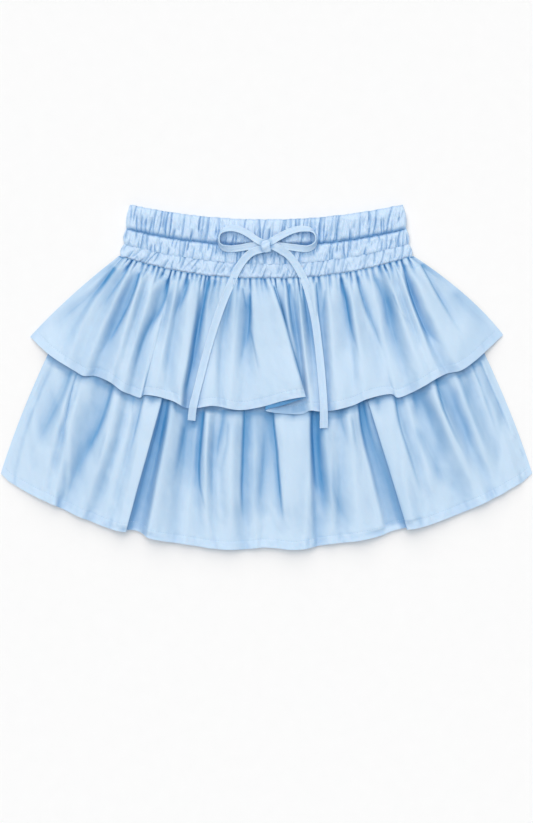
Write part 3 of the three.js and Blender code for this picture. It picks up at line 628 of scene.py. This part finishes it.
def crease_relief(table, points, fullness):
    """Valleys along the crease paths with the fullness beside them, and the painted shade in and beside each
    one.
    """
    relief = np.zeros(points.shape[:2])
    shade = np.zeros(points.shape[:2])
    for crease in table:
        path = curved(crease["path"])
        low, high = path.min(axis=0) - CREASE_MARGIN, path.max(axis=0) + CREASE_MARGIN
        near = np.all((points > low) & (points < high), axis=2)
        rows = near.any(axis=1)
        across, along = beside(path, points[rows])
        ends = smooth(0, crease["start"], along) * (1 - smooth(1 - crease["end"], 1, along)) * near[rows]
        opened = mix(1, crease["open"], along)
        width = np.where(across < 0, crease["left"], crease["right"]) * opened
        crisp = (across < 0) == (crease["left"] <= crease["right"])
        power = crease["form"] * np.where(crisp, 1, 0.6)
        dip = np.exp(-(np.abs(across) / width) ** power) * ends
        core, skirt = (np.exp(-(np.abs(across) / (width * wide)) ** max(1.5, power.min()))
                       for wide in (0.6, np.where(crisp, 1.15, 2.2)))
        # Painted shade: darkest near the crease line, with a wide faint skirt and streaks along it
        painted_shade = (0.42 * core + 0.58 * skirt) * ends
        streak = soft_noise(across, along * crease_length(path), (0.0017, 0.03), 7)
        reach = 1.1 * (crease["left"] + crease["right"]) * opened + 0.002
        swell = np.exp(-(across / reach) ** 2) * ends
        relief[rows] += crease["depth"] * fullness * (CREASE_SWELL * swell - dip)
        strong = min(1.0, crease["depth"] / DEEPEST_CREASE) * mix(1, 0.5, along) * (0.88 + 0.12 * streak)
        if crease["form"] < 2:
            strong = strong * opened ** -0.4
        shade[rows] = 1 - (1 - shade[rows]) * (1 - painted_shade * strong)
    return relief, shade


def scallop(x, seed=0):
    """How far a gathered seam wanders along Y as the elastic pulls it in."""
    return SCALLOP * soft_noise(x, np.zeros_like(x), 0.0045, 90 + seed)


def pleats_below(places, down, lines, seed):
    """Gathers that start as narrow tucks at a seam and open out below it, uneven in depth and length."""
    rng = np.random.default_rng(seed)
    full = np.ones(down.shape)
    place = lines["from"]
    while place < lines["to"]:
        wide = rng.uniform(0.0006, 0.0013)
        deep = rng.uniform(0.45, 1.0)
        long = mix(0.3, 1.0, rng.uniform() ** 1.6) * lines["long"]
        drift = rng.uniform(-0.05, 0.05)
        side = np.abs(places[None, :] - place - drift * down)
        spread = wide * (1 + 1.1 * down / long)
        full *= 1 - deep * np.exp(-(side / spread) ** 1.5) * np.exp(-(down / long) ** 2)
        place += rng.uniform(*lines["apart"])
    return lines["tall"] * (full - 0.3) * np.exp(-(down / lines["long"]) ** 2), 1 - full


class Layers:
    """Heights of the cloth that is already laid down, on a lattice, so that the next piece lies on top."""

    CELL = 0.002
    HALF = 180

    def __init__(self):
        self.top = np.zeros((2 * self.HALF, 2 * self.HALF))

    def cells(self, points):
        place = np.round(points[:, :, :2] / self.CELL).astype(int) + self.HALF
        place = np.clip(place, 1, 2 * self.HALF - 2)
        return place[:, :, 1], place[:, :, 0]

    def lay(self, face):
        fine = face
        for axis in (0, 1):
            count = fine.shape[axis]
            between = (np.take(fine, range(1, count), axis) + np.take(fine, range(count - 1), axis)) / 2
            fine = np.concatenate([fine, between], axis=axis)
        np.maximum.at(self.top, self.cells(fine), fine[:, :, 2])

    def keep_above(self, face, gap):
        """Heights of a face that settles softly on what lies in its cell and in the cells around."""
        wide = self.top.copy()
        for axis in (0, 1):
            wide = np.maximum(wide, np.maximum(np.roll(wide, 1, axis), np.roll(wide, -1, axis)))
        rest = wide[self.cells(face)] + gap
        over = face[:, :, 2] - rest
        return rest + np.where(over > SETTLE, over, SETTLE * np.exp((over - SETTLE) / SETTLE))

    def cover(self, points, towards, reach=4):
        """Mean height of the cloth around each point, taken a little towards the light."""
        kernel = np.hanning(2 * reach + 3)[1:-1]
        kernel /= kernel.sum()
        soft = self.top
        for axis in (0, 1):
            soft = np.apply_along_axis(np.convolve, axis, soft, kernel, mode="same")
        gx, gy = (np.clip(place / self.CELL + self.HALF, 1, 2 * self.HALF - 3)
                  for place in (points[:, 0], points[:, 1] + towards))
        ix, iy = gx.astype(int), gy.astype(int)
        return in_lattice(soft, ix, iy, gx - ix, gy - iy)


def paint_cover_shade(obj, layers, strong=0.5, towards=0.004):
    """Painted shade: deeper blue where the cloth, hem or tie around a point stands higher and closes off the
    light.
    """
    mesh = obj.data
    count = len(mesh.vertices)
    points, depth = np.empty(count * 3), np.empty(count)
    mesh.vertices.foreach_get("co", points)
    points = points.reshape(-1, 3)
    closed = strong * np.clip((layers.cover(points, towards) - points[:, 2] - COVER_FROM) / COVER_FULL, 0, 1)
    layer = mesh.attributes["painted_fold_shade"].data
    layer.foreach_get("value", depth)
    layer.foreach_set("value", 1 - (1 - depth) * (1 - closed))


def down_the_cloth(lie):
    steps = np.linalg.norm(np.diff(lie, axis=0), axis=2)
    return np.concatenate([np.zeros((1, lie.shape[1])), np.cumsum(steps, axis=0)])


def shaded(z, reach):
    """How far each point lies below its neighbours across the folds, from 0 to 1 at 6 mm; used as painted
    shade.
    """
    kernel = np.hanning(2 * reach + 1)
    kernel /= kernel.sum()
    padded = np.pad(z, ((0, 0), (reach, reach)), mode="edge")
    around = np.stack([np.convolve(row, kernel, mode="valid") for row in padded])
    return np.clip((around - z) / SUNK_FULL, 0, 1)


def hem_relief(lie, up, seed):
    """The doubled band of a hem: raised, dipped along its stitches and puckered by them; also where it is."""
    hem = 1 - smooth(HEM_WIDTH - 0.0004, HEM_WIDTH + 0.0006, up)
    run = np.cumsum(np.linalg.norm(np.diff(lie[-1], axis=0, prepend=lie[-1, :1]), axis=1))
    pucker = soft_noise(np.tile(run, (lie.shape[0], 1)), up, (0.0042, 0.02), seed)
    at_stitch = np.exp(-((up - HEM_WIDTH) / STITCH_GROOVE) ** 2)
    around = np.exp(-((up - 0.7 * HEM_WIDTH) / PUCKER_REACH) ** 2)
    return HEM_RAISE * hem - STITCH_DIP * at_stitch + PUCKER * pucker * around, hem


def tier_front(tier, material, thread, layers):
    """A gathered tier: its folds, creases, gathers, crumple and stitched hem, laid on the cloth below it."""
    name, seed = tier["name"], tier["seed"]
    lie, places = tier_lie(tier)
    down = down_the_cloth(lie)
    up = down[-1:] - down
    x, y = lie[:, :, 0], lie[:, :, 1]
    edge = smooth(0, 0.006, from_sides(x))
    crease, crease_shade = crease_relief(tier["creases"], lie[:, :, :2], CREASE_DEPTH)
    # Painted shade only, with no relief, where the fold or the hem above closes off the light
    patch_shade = crease_relief(tier["shade_patches"], lie[:, :, :2], 0)[1]
    crease_shade = 1 - (1 - crease_shade) * (1 - patch_shade)
    gathers, tucked = pleats_below(places, down, tier["gathers"], seed)
    flow = places[None, :] * (1 + 2.2 * down)
    broad = soft_noise(flow, down, (0.019, 0.15), seed + 1)
    broad += 0.5 * soft_noise(flow, down, (0.009, 0.09), seed + 5)
    relief = crease + (gathers + SOFT_WAVE * broad * smooth(0.01, 0.04, down)) * edge
    relief += CRUMPLE * soft_noise(x + 0.3 * y, y, (0.006, 0.011), seed + 2)
    relief += FINE_CRUMPLE * soft_noise(x, y, 0.0035, seed + 3)
    band, hem = hem_relief(lie, up, seed + 4)
    cloth = lie.copy()
    if tier["under_waist"]:
        cloth[:, :, 1] += scallop(x) * np.exp(-(down / 0.006) ** 2)
    cloth[:, :, 2] += (relief + band) * mix(0.25, 1, edge)
    cloth[:, :, 2] = layers.keep_above(cloth, CLOTH / 2 + GAP)
    normal = upward_normals(cloth)
    half = normal * (CLOTH + (HEM_CLOTH - CLOTH) * hem)[:, :, None] / 2
    sunk = shaded(cloth[:, :, 2], tier["steps"] * 2)
    # Painted shade: deeper blue in sunk places, creases, gathers, on steep sides and at the seam; painted
    # lighter on broad swells
    depth = SHADE["sunk"] * sunk + SHADE["crease"] * crease_shade + SHADE["tuck"] * tucked
    depth = depth + SHADE["steep"] * (1 - normal[:, :, 2]) - SHADE["broad"] * broad * edge - SHADE["lit"]
    depth = np.clip(depth + SHADE["seam"] * np.exp(-(down / SEAM_SHADE_LONG) ** 2), 0, 1)
    obj = dress(shell(name, cloth + half, cloth - half, depth), material, "tier_cloth", name + "_front")
    layers.lay(cloth + half)
    stitches = hem_stitches(name.replace("tier", "hem_stitches"), cloth + half, up, thread)
    return cut(obj)


def bead_chain(name, points, normals):
    """Stitches laid along a line of points on the cloth: short rounded beads with gaps between them."""
    travelled = np.concatenate([[0], np.cumsum(np.linalg.norm(np.diff(points, axis=0), axis=1))])
    turn = np.arange(6) * 2 * math.pi / 6
    swell = np.array([0.35, 1, 1, 0.35]) * THREAD_RADIUS
    sink = np.array([-1.2, 0.1, 0.1, -1.2]) * THREAD_RADIUS
    beads, faces = [], []
    for start in np.arange(STITCH_PITCH, travelled[-1] - STITCH_PITCH, STITCH_PITCH):
        at = start + np.array([0, 0.16, 0.84, 1]) * STITCH_LENGTH
        centre, up = (np.stack([np.interp(at, travelled, rows[:, k]) for k in range(3)], axis=1)
                      for rows in (points, normals))
        up = unit(up)
        out = np.cross(unit(centre[-1] - centre[0]), up)
        round_out = np.cos(turn)[None, :, None] * out[:, None] + np.sin(turn)[None, :, None] * up[:, None]
        faces += tube_faces(len(at), len(turn), len(beads) * len(at) * len(turn))
        beads.append((centre + up * sink[:, None])[:, None] + swell[:, None, None] * round_out)
    return piece_mesh(name, beads, faces)


def hem_stitches(name, face, up, thread):
    """Topstitching along the hem band, set on the cloth where it lies."""
    on_cloth = np.concatenate([face, upward_normals(face)], axis=2)
    line = []
    for column in range(1, face.shape[1] - 1):
        order = np.argsort(up[:, column])
        line.append([np.interp(HEM_WIDTH, up[order, column], on_cloth[order, column, k]) for k in range(6)])
    line = np.array(line)
    return dress(bead_chain(name, line[:, :3], line[:, 3:]), thread, "tier_cloth")


# Waist, back and shorts


def waist_grid(lines, row, columns, steps):
    """One row of the waist: side from -1 to 1, level from 0 to 1 down the row, X and Y."""
    side, level = np.meshgrid(np.linspace(-1, 1, columns), np.linspace(0, 1, steps)[(1 if row else 0):])
    start, end = lines[row], lines[row + 1]
    x = side * (mix(start[2], end[2], level) + SIDE_BULGE * np.sin(math.pi * level))
    y = mix(line_y(start, side * start[2]), line_y(end, side * end[2]), level)
    return side, level, x, y


def tucks(x, level, row):
    """Puffs between the close, uneven tucks of one row: 1 on a puff and 0 down in a tuck."""
    rng = np.random.default_rng(row["seed"])
    height = np.ones(x.shape)
    place = -TUCKS_HALF
    while place < TUCKS_HALF:
        wide = rng.uniform(*row["wide"])
        near_left = 0.5 - 0.5 * math.tanh(place / 0.07)
        lean = mix(row["lean"], row["lean_left"], near_left) * rng.uniform(0.6, 1.3)
        lean += rng.normal(0, TUCK_STRAY)
        bend = rng.uniform(-TUCK_STRAY, TUCK_STRAY)
        start, end = rng.choice([-0.3, -0.3, 0.2, 0.45]), rng.choice(row["ends"])
        centre = place + lean * (0.5 - level) + bend * np.sin(math.pi * level)
        fade = smooth(start, start + 0.35, level) * (1 - smooth(end - 0.35, end, level))
        sharp, soft = rng.uniform(*TUCK_SHARP), rng.uniform(*TUCK_SOFT)
        away = (x - centre) * rng.choice([-1, 1])
        dip = np.exp(-(np.abs(away) / np.where(away < 0, sharp, soft)) ** 1.3)
        height *= 1 - rng.uniform(0.5, 1.0) * fade * dip
        place += wide
    return height


def elastic_hold(level, held, near_start, near_end):
    """How strongly the elastic lines at the start and the end of a row hold the cloth at a level."""
    start, end = held
    return start * np.exp(-(level / near_start) ** 2) + end * np.exp(-((1 - level) / near_end) ** 2)


def rounded(side, wide):
    """Round rise of a band from its two sides: 0 at a side, 1 inside."""
    edge = np.minimum(1 - np.abs(side), wide) / wide
    return np.sqrt(np.clip(edge * (2 - edge), 0, 1))


def pressed(face, height):
    flat = face.copy()
    flat[:, :, 2] = height
    return flat


def waist_front(name, lines, first_row, columns, steps, material):
    """Puffed rows of gathered cloth between elastic lines, closed by the sides and the underside."""
    under = BAND_LEVELS * LAYER
    grids, shades = [], []
    for row in range(len(lines) - 1):
        place = first_row + row
        side, level, x, y = waist_grid(lines, row, columns, steps)
        y += mix(scallop(x, place), scallop(x, (place + 1) % 3), level)
        if place == 0:
            corner = np.clip((np.abs(side) - CORNER_FROM) / (1 - CORNER_FROM), 0, 1)
            y -= CASING_CORNER * (1 - np.sqrt(1 - corner ** 2)) * (1 - level)
        seed, tall, held, painted_shade = (WAIST_ROWS[place][key] for key in ("seed", "tall", "held", "painted_shade"))
        puff = tucks(x, level, WAIST_ROWS[place])
        bulge = 1 - elastic_hold(level, held, 0.11, 0.09)
        elastic = elastic_hold(level, held, 0.05, 0.055)
        dashes = 0.7 + 0.3 * soft_noise(x, y, (0.0024, 0.02), seed + 20)
        ridge = 1 - np.abs(soft_noise(x - 0.2 * y, y, (0.0036, 0.014), seed + 30))
        z = 2 * under - GAP + ROW_BULGE * (bulge - 1) - ELASTIC_PULL * elastic * dashes
        z += tall * (puff * (0.3 + 0.7 * bulge) - 0.35 + 0.35 * (ridge ** 3 - 0.3))
        z += WAIST_WRINKLE * soft_noise(x + 0.35 * y, y, (0.0018, 0.006), seed + 40)
        grids.append(np.stack([x, y, mix(under + SIDE_RISE, z, rounded(side, 0.03))], axis=2))
        # Painted shade down in the tucks and along the elastic lines
        shades.append(np.clip(0.95 * (1 - puff) + 0.7 * elastic, 0, 1) * painted_shade)
    face = np.concatenate(grids)
    obj = shell(name, face, pressed(face, under), np.concatenate(shades), 60)
    dress(obj, material, "waist_cloth", name + "_front")
    return cut(obj), face


def waist_back(name, lines, first_row, material, columns=420, steps=14):
    """The back of the waist: its rows of tucks face the surface that it lies on, their puffs flat on it."""
    top = BAND_LEVELS * LAYER - GAP
    grids, shades = [], []
    for row in range(len(lines) - 1):
        side, level, x, y = waist_grid(lines, row, columns, steps)
        row_tucks = WAIST_ROWS[first_row + row]
        puff = tucks(x, level, dict(row_tucks, seed=row_tucks["seed"] + 60))
        elastic = elastic_hold(level, row_tucks["held"], 0.08, 0.08)
        z = np.clip(0.0013 * (1 - puff) + 0.0012 * elastic, 0, BACK_TUCK)
        grids.append(np.stack([x, y, mix(top - 0.0014, z, rounded(side, 0.02))], axis=2))
        # Painted shade in the tucks and along the elastic lines
        shades.append(np.clip(0.8 * (1 - puff) + 0.6 * elastic, 0, 1) * 0.8)
    under = np.concatenate(grids)
    obj = shell(name + "_cloth", pressed(under, top), under, np.concatenate(shades), 60)
    return cut(dress(obj, material, "waist_cloth", name))


def yoke_under(inner, edge):
    """Underside of a yoke panel, which falls from its inner layer to its edge's layer at the sides."""
    def under(level, side):
        half = mix(YOKE_HALF, LOWER_SEAM[2], level)
        slope = mix(*SIDE_SLOPE, smooth(0, 0.5, level))
        return LAYER * mix(LEVEL[edge], LEVEL[inner], smooth(0, slope, half * (1 - np.abs(side))))
    return under


def plain_panel(name, material, top, top_half, foot, under, seed, bow=0, foot_gap=0,
                creased=PANEL_CREASE, layers=None):
    """A plain panel of cloth between two curved lines, as its own solid lies, with soft shallow creases."""
    side, level = np.meshgrid(np.linspace(-1, 1, 120), np.linspace(0, 1, 24))
    top_x, foot_x = side * top_half, side * foot[2]
    x = mix(top_x, foot_x, level) + np.sign(side) * bow * 4 * level * (1 - level) * side ** 4
    y = mix(line_y(top, top_x) - GAP / 2, line_y(foot, foot_x) + foot_gap, level)
    z = under(level, side) + SOLID_CLOTH / 2 + creased * soft_noise(side * 0.25, y, (0.006, 0.05), seed)
    lie = np.stack([x, y, z], axis=2)
    half = upward_normals(lie) * CLOTH / 2
    # Painted shade where the panel lies below its neighbours
    obj = shell(name + "_cloth", lie + half, lie - half, shaded(z, 3) * 0.5)
    if layers:
        layers.lay(lie + half)
    return cut(dress(obj, material, "tier_cloth", name))


def shorts_panel(name, hand, layer, material, layers):
    """One leg's panel of the shorts, from the waist seam to the leg hem, flat between the skirt layers."""
    across, down = np.meshgrid(np.linspace(0, 1, 26), np.linspace(0, 1, 22))
    inner_x = GAP / 2 + LEG_INNER * smooth(0.72, 1, down)
    outer_x = mix(SHORTS_HALF, LEG_OUTER, 1 - (1 - down) ** 2)
    x = mix(inner_x, outer_x, across)
    y_top = line_y(WAIST_LINE["seam"], across * SHORTS_HALF) - GAP / 2
    y = mix(y_top, LEG_HEM_Y + LEG_HEM_RISE * across, down)
    z = middle(layer) + SHORTS_CREASE * soft_noise(x, y, (0.012, 0.04), 70 + LEVEL[layer])
    lie = np.stack([hand * x, y, z], axis=2)
    half = (0, 0, CLOTH / 2)
    # Painted shade where the panel lies below its neighbours
    obj = shell(name + "_cloth", lie + half, lie - half, shaded(z, 3) * 0.5)
    layers.lay(lie + half)
    return cut(dress(obj, material, "shorts_cloth", name))


# Bow


def swept_tie(name, route, width, tilts, folded_end):
    """A flat tie of self fabric along a route, turned on edge where tilts say, with soft rolled edges."""
    line = through(np.array(route)[None], 12)[0]
    ways = unit(np.gradient(line, axis=0))
    along = np.linspace(0, 1, len(line))
    across = unit(np.cross(ways, (0, 0, 1.0)))
    turn = np.radians(np.interp(along, *np.array(tilts).T))[:, None]
    wide = np.cos(turn) * across + np.sin(turn) * np.cross(across, ways)
    thin = np.cross(wide, ways)
    size = width * (1 + 0.05 * soft_noise(along * 0.2, np.full_like(along, width), 0.012, len(name)))
    thick = TIE_THICK * np.ones_like(along)
    if folded_end:
        size = size * mix(1, 1.07, smooth(0.962, 0.968, along))
        thick = thick * mix(1, 1.6, smooth(0.962, 0.966, along))
    edge = np.array(TIE_SECTION)
    rings = (line[:, None] + wide[:, None] * edge[None, :, :1] * size[:, None, None] / 2
             + thin[:, None] * edge[None, :, 1:] * thick[:, None, None])
    rings += thin[:, None] * TIE_DENT * soft_noise(rings[:, :, 0], rings[:, :, 1], 0.004, 55)[:, :, None]
    # Painted shade: deeper blue down the middle of the tie with streaks along it, and where it leaves the
    # wrap
    streak = soft_noise(edge[None, :, 0] * width / 2, along[:, None] * 0.2, (0.0013, 0.014), 60 + len(route))
    closed = 1 - smooth(*WRAP_SHADE, np.linalg.norm(rings - KNOT_PLACE, axis=2))
    depth = 0.1 * (1 - edge[None, :, 0] ** 2) * (1 + 0.8 * streak) + 0.5 * closed
    return closed_tube(name, rings, depth), rings, line


def knot():
    """The wrap of the bow: a band of tie over the crossing, puffed and creased, over its core."""
    around = np.linspace(0, 2 * math.pi, 49)[:-1]
    v = np.linspace(-1, 1, 9)[:, None]
    pinch = 1 - 0.16 * v * v
    ripple = np.sin(around * 5 + 2.4 * v) * (1 - v * v)
    x = KNOT_PLACE[0] + v * KNOT_HALF[0] + KNOT_SKEW * np.cos(around * 2 + 0.5)
    y = KNOT_PLACE[1] + np.cos(around) * (KNOT_HALF[1] * pinch + KNOT_RIPPLE * ripple)
    z = KNOT_PLACE[2] + np.sin(around) * (KNOT_HALF[2] * pinch + KNOT_RIPPLE * ripple)
    rings = np.stack([x, y, z], axis=2)
    # Painted shade at the two ends of the wrap and in the dips of its ripples
    return closed_tube("knot_wrap", rings, 0.55 * v ** 6 + 0.22 * np.clip(-ripple, 0, 1)), rings


def tied_bow(material):
    """The bow's two tails and two loops, which leave the wrap at its middle, as free flat ties."""
    wrap, rings = knot()
    dress(wrap, material, "tie_cloth", "bow_knot")
    laid = [rings]
    for node, route, width, length, tilts, far_end in (
            ("bow_tail_left", TAIL_LEFT, TIE_WIDTH, TAIL_LENGTH, FLAT, "bare"),
            ("bow_tail_right", TAIL_RIGHT, TIE_WIDTH, TAIL_LENGTH, FLAT, "bare"),
            ("bow_loop_left", LOOP_LEFT, LOOP_WIDTH, LOOP_LENGTH, STANDING_LEFT, "object"),
            ("bow_loop_right", LOOP_RIGHT, LOOP_WIDTH, LOOP_LENGTH, STANDING, "object")):
        tie, rings, line = swept_tie("tie_" + node, route, width, tilts, far_end == "bare")
        dress(tie, material, "tie_cloth", node)
        laid.append(rings)
    return laid


# Finishes


class Wire:
    """A value running between shader nodes; arithmetic on it adds Math nodes."""

    def __init__(self, finish, socket):
        self.finish = finish
        self.socket = socket

    def _math(self, operation, *values):
        return self.finish.node("ShaderNodeMath", {"operation": operation}, *values)

    def __add__(self, other):
        return self._math("ADD", self, other)

    def __sub__(self, other):
        return self._math("SUBTRACT", self, other)

    def __rsub__(self, other):
        return self._math("SUBTRACT", other, self)

    def __mul__(self, other):
        return self._math("MULTIPLY", self, other)

    __radd__ = __add__
    __rmul__ = __mul__


class Finish:
    """One material: its nodes are made by node(), and its look is set on the Principled shader."""

    def __init__(self, name):
        self.material = bpy.data.materials.new(name)
        self.material.use_nodes = True
        self.nodes = self.material.node_tree.nodes
        self.links = self.material.node_tree.links
        self.shader = self.nodes["Principled BSDF"]

    def feed(self, socket, value):
        if isinstance(value, Wire):
            self.links.new(value.socket, socket)
        elif socket.type == "RGBA":
            socket.default_value = (*value, 1.0)
        else:
            socket.default_value = value

    def node(self, kind, settings, *values, output=0, **named):
        made = self.nodes.new(kind)
        for key, value in settings.items():
            setattr(made, key, value)
        for socket, value in zip(made.inputs, values):
            self.feed(socket, value)
        for key, value in named.items():
            self.feed(made.inputs[key.replace("_", " ")], value)
        return Wire(self, made.outputs[output])

    def place(self):
        return self.node("ShaderNodeTexCoord", {}, output=3)

    def noise(self, place, scale, detail, roughness=0.5):
        return self.node("ShaderNodeTexNoise", {}, Vector=place, Scale=scale, Detail=detail,
                         Roughness=roughness)

    def blend(self, factor, first, second):
        made = self.nodes.new("ShaderNodeMix")
        made.data_type = "RGBA"
        for socket, value in ((0, factor), (6, first), (7, second)):
            self.feed(made.inputs[socket], value)
        return Wire(self, made.outputs[2])

    def shade(self, **inputs):
        for key, value in inputs.items():
            self.feed(self.shader.inputs[key.replace("_", " ")], value)
        return self.material


def cloth_finish(name, lit=LIT_CLOTH, roughness=0.46, crumple=0.25, glint=0.24):
    """Fine plain weave with a soft sheen, painted shade of a deeper blue where folds close, faintly crumpled.
    """
    f = Finish(name)
    place = f.place()
    depth = f.node("ShaderNodeAttribute", {"attribute_name": "painted_fold_shade"}, output=2)
    mottle = f.noise(place, 38.0, 3.0, 0.55)
    slub = f.noise(place, 900.0, 2.0, 0.6)
    warp, weft = (f.node("ShaderNodeTexWave", {"wave_type": "BANDS", "bands_direction": way}, Vector=place,
                         Scale=THREADS_A_METRE / 6.28, Distortion=0.6, Detail=1.0) for way in "XY")
    weave = warp * weft
    # Painted shade: the cloth's blue is blended towards the deep blue by the shade stored on the mesh
    painted_shade = f.blend(depth, lit, PAINTED_SHADE_BLUE)
    faded = f.blend((mottle - 0.42) * 0.22, painted_shade, (0.6, 0.75, 0.9))
    threads = f.blend((slub * 0.5 + weave * 0.5) * 0.07, faded, (0.36, 0.54, 0.76))
    soft = f.noise(place, 95.0, 4.0)
    crease = f.node("ShaderNodeBump", {}, Strength=crumple, Distance=0.0012, Height=soft)
    fine = f.node("ShaderNodeBump", {}, Strength=0.12, Distance=0.0002, Height=weave + slub * 0.6,
                  Normal=crease)
    return f.shade(
        Base_Color=threads, Roughness=mottle * 0.12 + (roughness - 0.06), Normal=fine, Subsurface_Weight=0.2,
        Subsurface_Radius=(0.5, 0.8, 1.0), Subsurface_Scale=0.002, Sheen_Weight=0.06, Sheen_Roughness=0.4,
        Sheen_Tint=(0.45, 0.7, 1.0), Specular_IOR_Level=glint)


def thread_finish():
    f = Finish("topstitch_thread")
    twist = f.noise(f.place(), 2400.0, 1.0)
    return f.shade(Base_Color=f.blend(twist, THREAD_BLUE, (0.46, 0.64, 0.84)), Roughness=0.5 + twist * 0.1)


def floor_finish():
    f = Finish("pale_floor")
    grain = f.noise(f.place(), 60.0, 2.0)
    colour = f.blend(grain, (0.93, 0.93, 0.93), (0.95, 0.95, 0.95))
    return f.shade(Base_Color=colour, Roughness=0.9, Specular_IOR_Level=0.1)


# Camera, floor and light


def camera():
    data = bpy.data.cameras.new("photo_camera")
    data.lens = LENS
    data.sensor_width = SENSOR
    data.clip_end = 20.0
    cam = bpy.data.objects.new("photo_camera", data)
    bpy.context.scene.collection.objects.link(cam)
    tall = max(PHOTO) * METRES_A_PIXEL
    cam.location = (*VIEW_CENTRE, CLOTH_PLANE + LENS * tall / SENSOR)
    bpy.context.scene.camera = cam


def floor(material, half=4.0, below=0.0002):
    corners = [(-half, -half, 0), (half, -half, 0), (half, half, 0), (-half, half, 0)]
    obj = piece_mesh("floor", corners, [(0, 1, 2, 3)])
    obj.location.z = -below
    obj.data.materials.append(material)


def light(name, way, strength, spread):
    """A large far-off softbox: light arriving one way from a disk of sky that is spread degrees wide."""
    data = bpy.data.lights.new(name, "SUN")
    data.energy = strength
    data.angle = math.radians(spread)
    data.color = WARM_LIGHT
    obj = bpy.data.objects.new(name, data)
    obj.rotation_euler = (-Vector(way)).to_track_quat("-Z", "Y").to_euler()
    obj.location = Vector(way).normalized() * 3
    bpy.context.scene.collection.objects.link(obj)


def studio():
    light("key_softbox", (-0.12, 0.25, 1), 1.6, 45)
    light("top_softbox", (-0.1, 1.0, 0.75), 1.2, 55)
    light("front_softbox", (0.1, -1.0, 0.9), 0.6, 80)
    world = bpy.data.worlds.new("studio_fill")
    world.use_nodes = True
    world.node_tree.nodes["Background"].inputs[0].default_value = (*SKY, 1.0)
    world.node_tree.nodes["Background"].inputs[1].default_value = SKY_STRENGTH
    bpy.context.scene.world = world
    bpy.context.scene.view_settings.view_transform = "Standard"


# The skort

camera()
bow = tied_bow(cloth_finish("tie_cloth", lit=LIT_TIE, crumple=0.2))
studio()
floor(floor_finish())

tier_cloth = cloth_finish("tier_cloth")
waist_cloth = cloth_finish("waist_cloth", roughness=0.38, crumple=0.2, glint=0.45)
shorts_cloth = cloth_finish("shorts_cloth")
thread = thread_finish()

layers = Layers()
lines = list(WAIST_LINE.values())
seam_line = WAIST_LINE["seam"]
waist_back("waist_casing_back", lines[:2], 0, waist_cloth)
waist_back("waist_shirring_back", lines[1:], 1, waist_cloth)
casing, casing_face = waist_front("waist_casing", lines[:2], 0, 860, 40, waist_cloth)
shirring, shirring_face = waist_front("waist_shirring", lines[1:], 1, 780, 30, waist_cloth)

plain_panel("yoke_front", tier_cloth, seam_line, YOKE_HALF, LOWER_SEAM,
            yoke_under("yoke_front", "shorts_back"), 81,
            foot_gap=GAP / 2, creased=YOKE_CREASE, layers=layers)
plain_panel("yoke_back", tier_cloth, seam_line, YOKE_HALF, LOWER_SEAM,
            yoke_under("yoke_back", "yoke_back"), 82,
            foot_gap=GAP / 2, creased=YOKE_CREASE)
plain_panel("upper_tier_back", tier_cloth, seam_line, UPPER_HALF, UPPER_BACK_HEM,
            lambda level, side: LEVEL["upper_back"] * LAYER, 83, bow=0.005)
plain_panel("lower_tier_back", tier_cloth, LOWER_SEAM, LOWER_SEAM[2], LOWER_BACK_HEM,
            lambda level, side: LEVEL["yoke_back"] * LAYER * (1 - smooth(0.11, 0.2, level)), 84)
for layer in ("front", "back"):
    for side, hand in (("left", -1), ("right", 1)):
        shorts_panel(f"shorts_{side}_{layer}", hand, "shorts_" + layer, shorts_cloth, layers)

lower = tier_front({
    "name": "lower_tier", "folds": LOWER_FOLDS, "creases": LOWER_CREASES, "shade_patches": LOWER_SHADE_PATCHES,
    "seam_line": LOWER_SEAM, "under_waist": False, "steps": 11, "seed": 51, "rests_on": ["lower_tier_back"],
    "gathers": {"from": -0.252, "to": 0.252, "tall": 0.0022, "long": 0.026, "apart": (0.005, 0.012)},
    "gather": lambda level: mix(0.1, 1, smooth(0, 0.3, level)),
    "side_lie": lambda level: mix(middle("shorts_back"), middle("yoke_back"), smooth(0.11, 0.3, level)),
    "lie": lambda level: mix(middle("yoke_front"), middle("yoke_back"), smooth(0.66, 0.98, level))
    + LOWER_HEM_LIFT * smooth(0.7, 1, level),
}, tier_cloth, thread, layers)
upper = tier_front({
    "name": "upper_tier", "folds": UPPER_FOLDS, "creases": UPPER_CREASES, "shade_patches": UPPER_SHADE_PATCHES,
    "seam_line": seam_line, "under_waist": True, "steps": 12, "seed": 31,
    "rests_on": ["yoke_front", "lower_tier_front"],
    "gathers": {"from": -0.172, "to": 0.172, "tall": 0.0046, "long": 0.03, "apart": (0.0036, 0.0082)},
    "gather": lambda level: mix(0.3, 1, smooth(0, 0.25, level)),
    "side_lie": lambda level: middle("yoke_back"),
    "lie": lambda level: middle("upper_front") + UPPER_HEM_LIFT * smooth(0.55, 0.9, level),
}, tier_cloth, thread, layers)

for face in (*bow, casing_face, shirring_face):
    layers.lay(face)
# Painted shade where the waist, the bow and the tier above stand over these pieces
for cloth in (casing, shirring, upper):
    paint_cover_shade(cloth, layers)
paint_cover_shade(lower, layers, strong=0.62, towards=0.006)
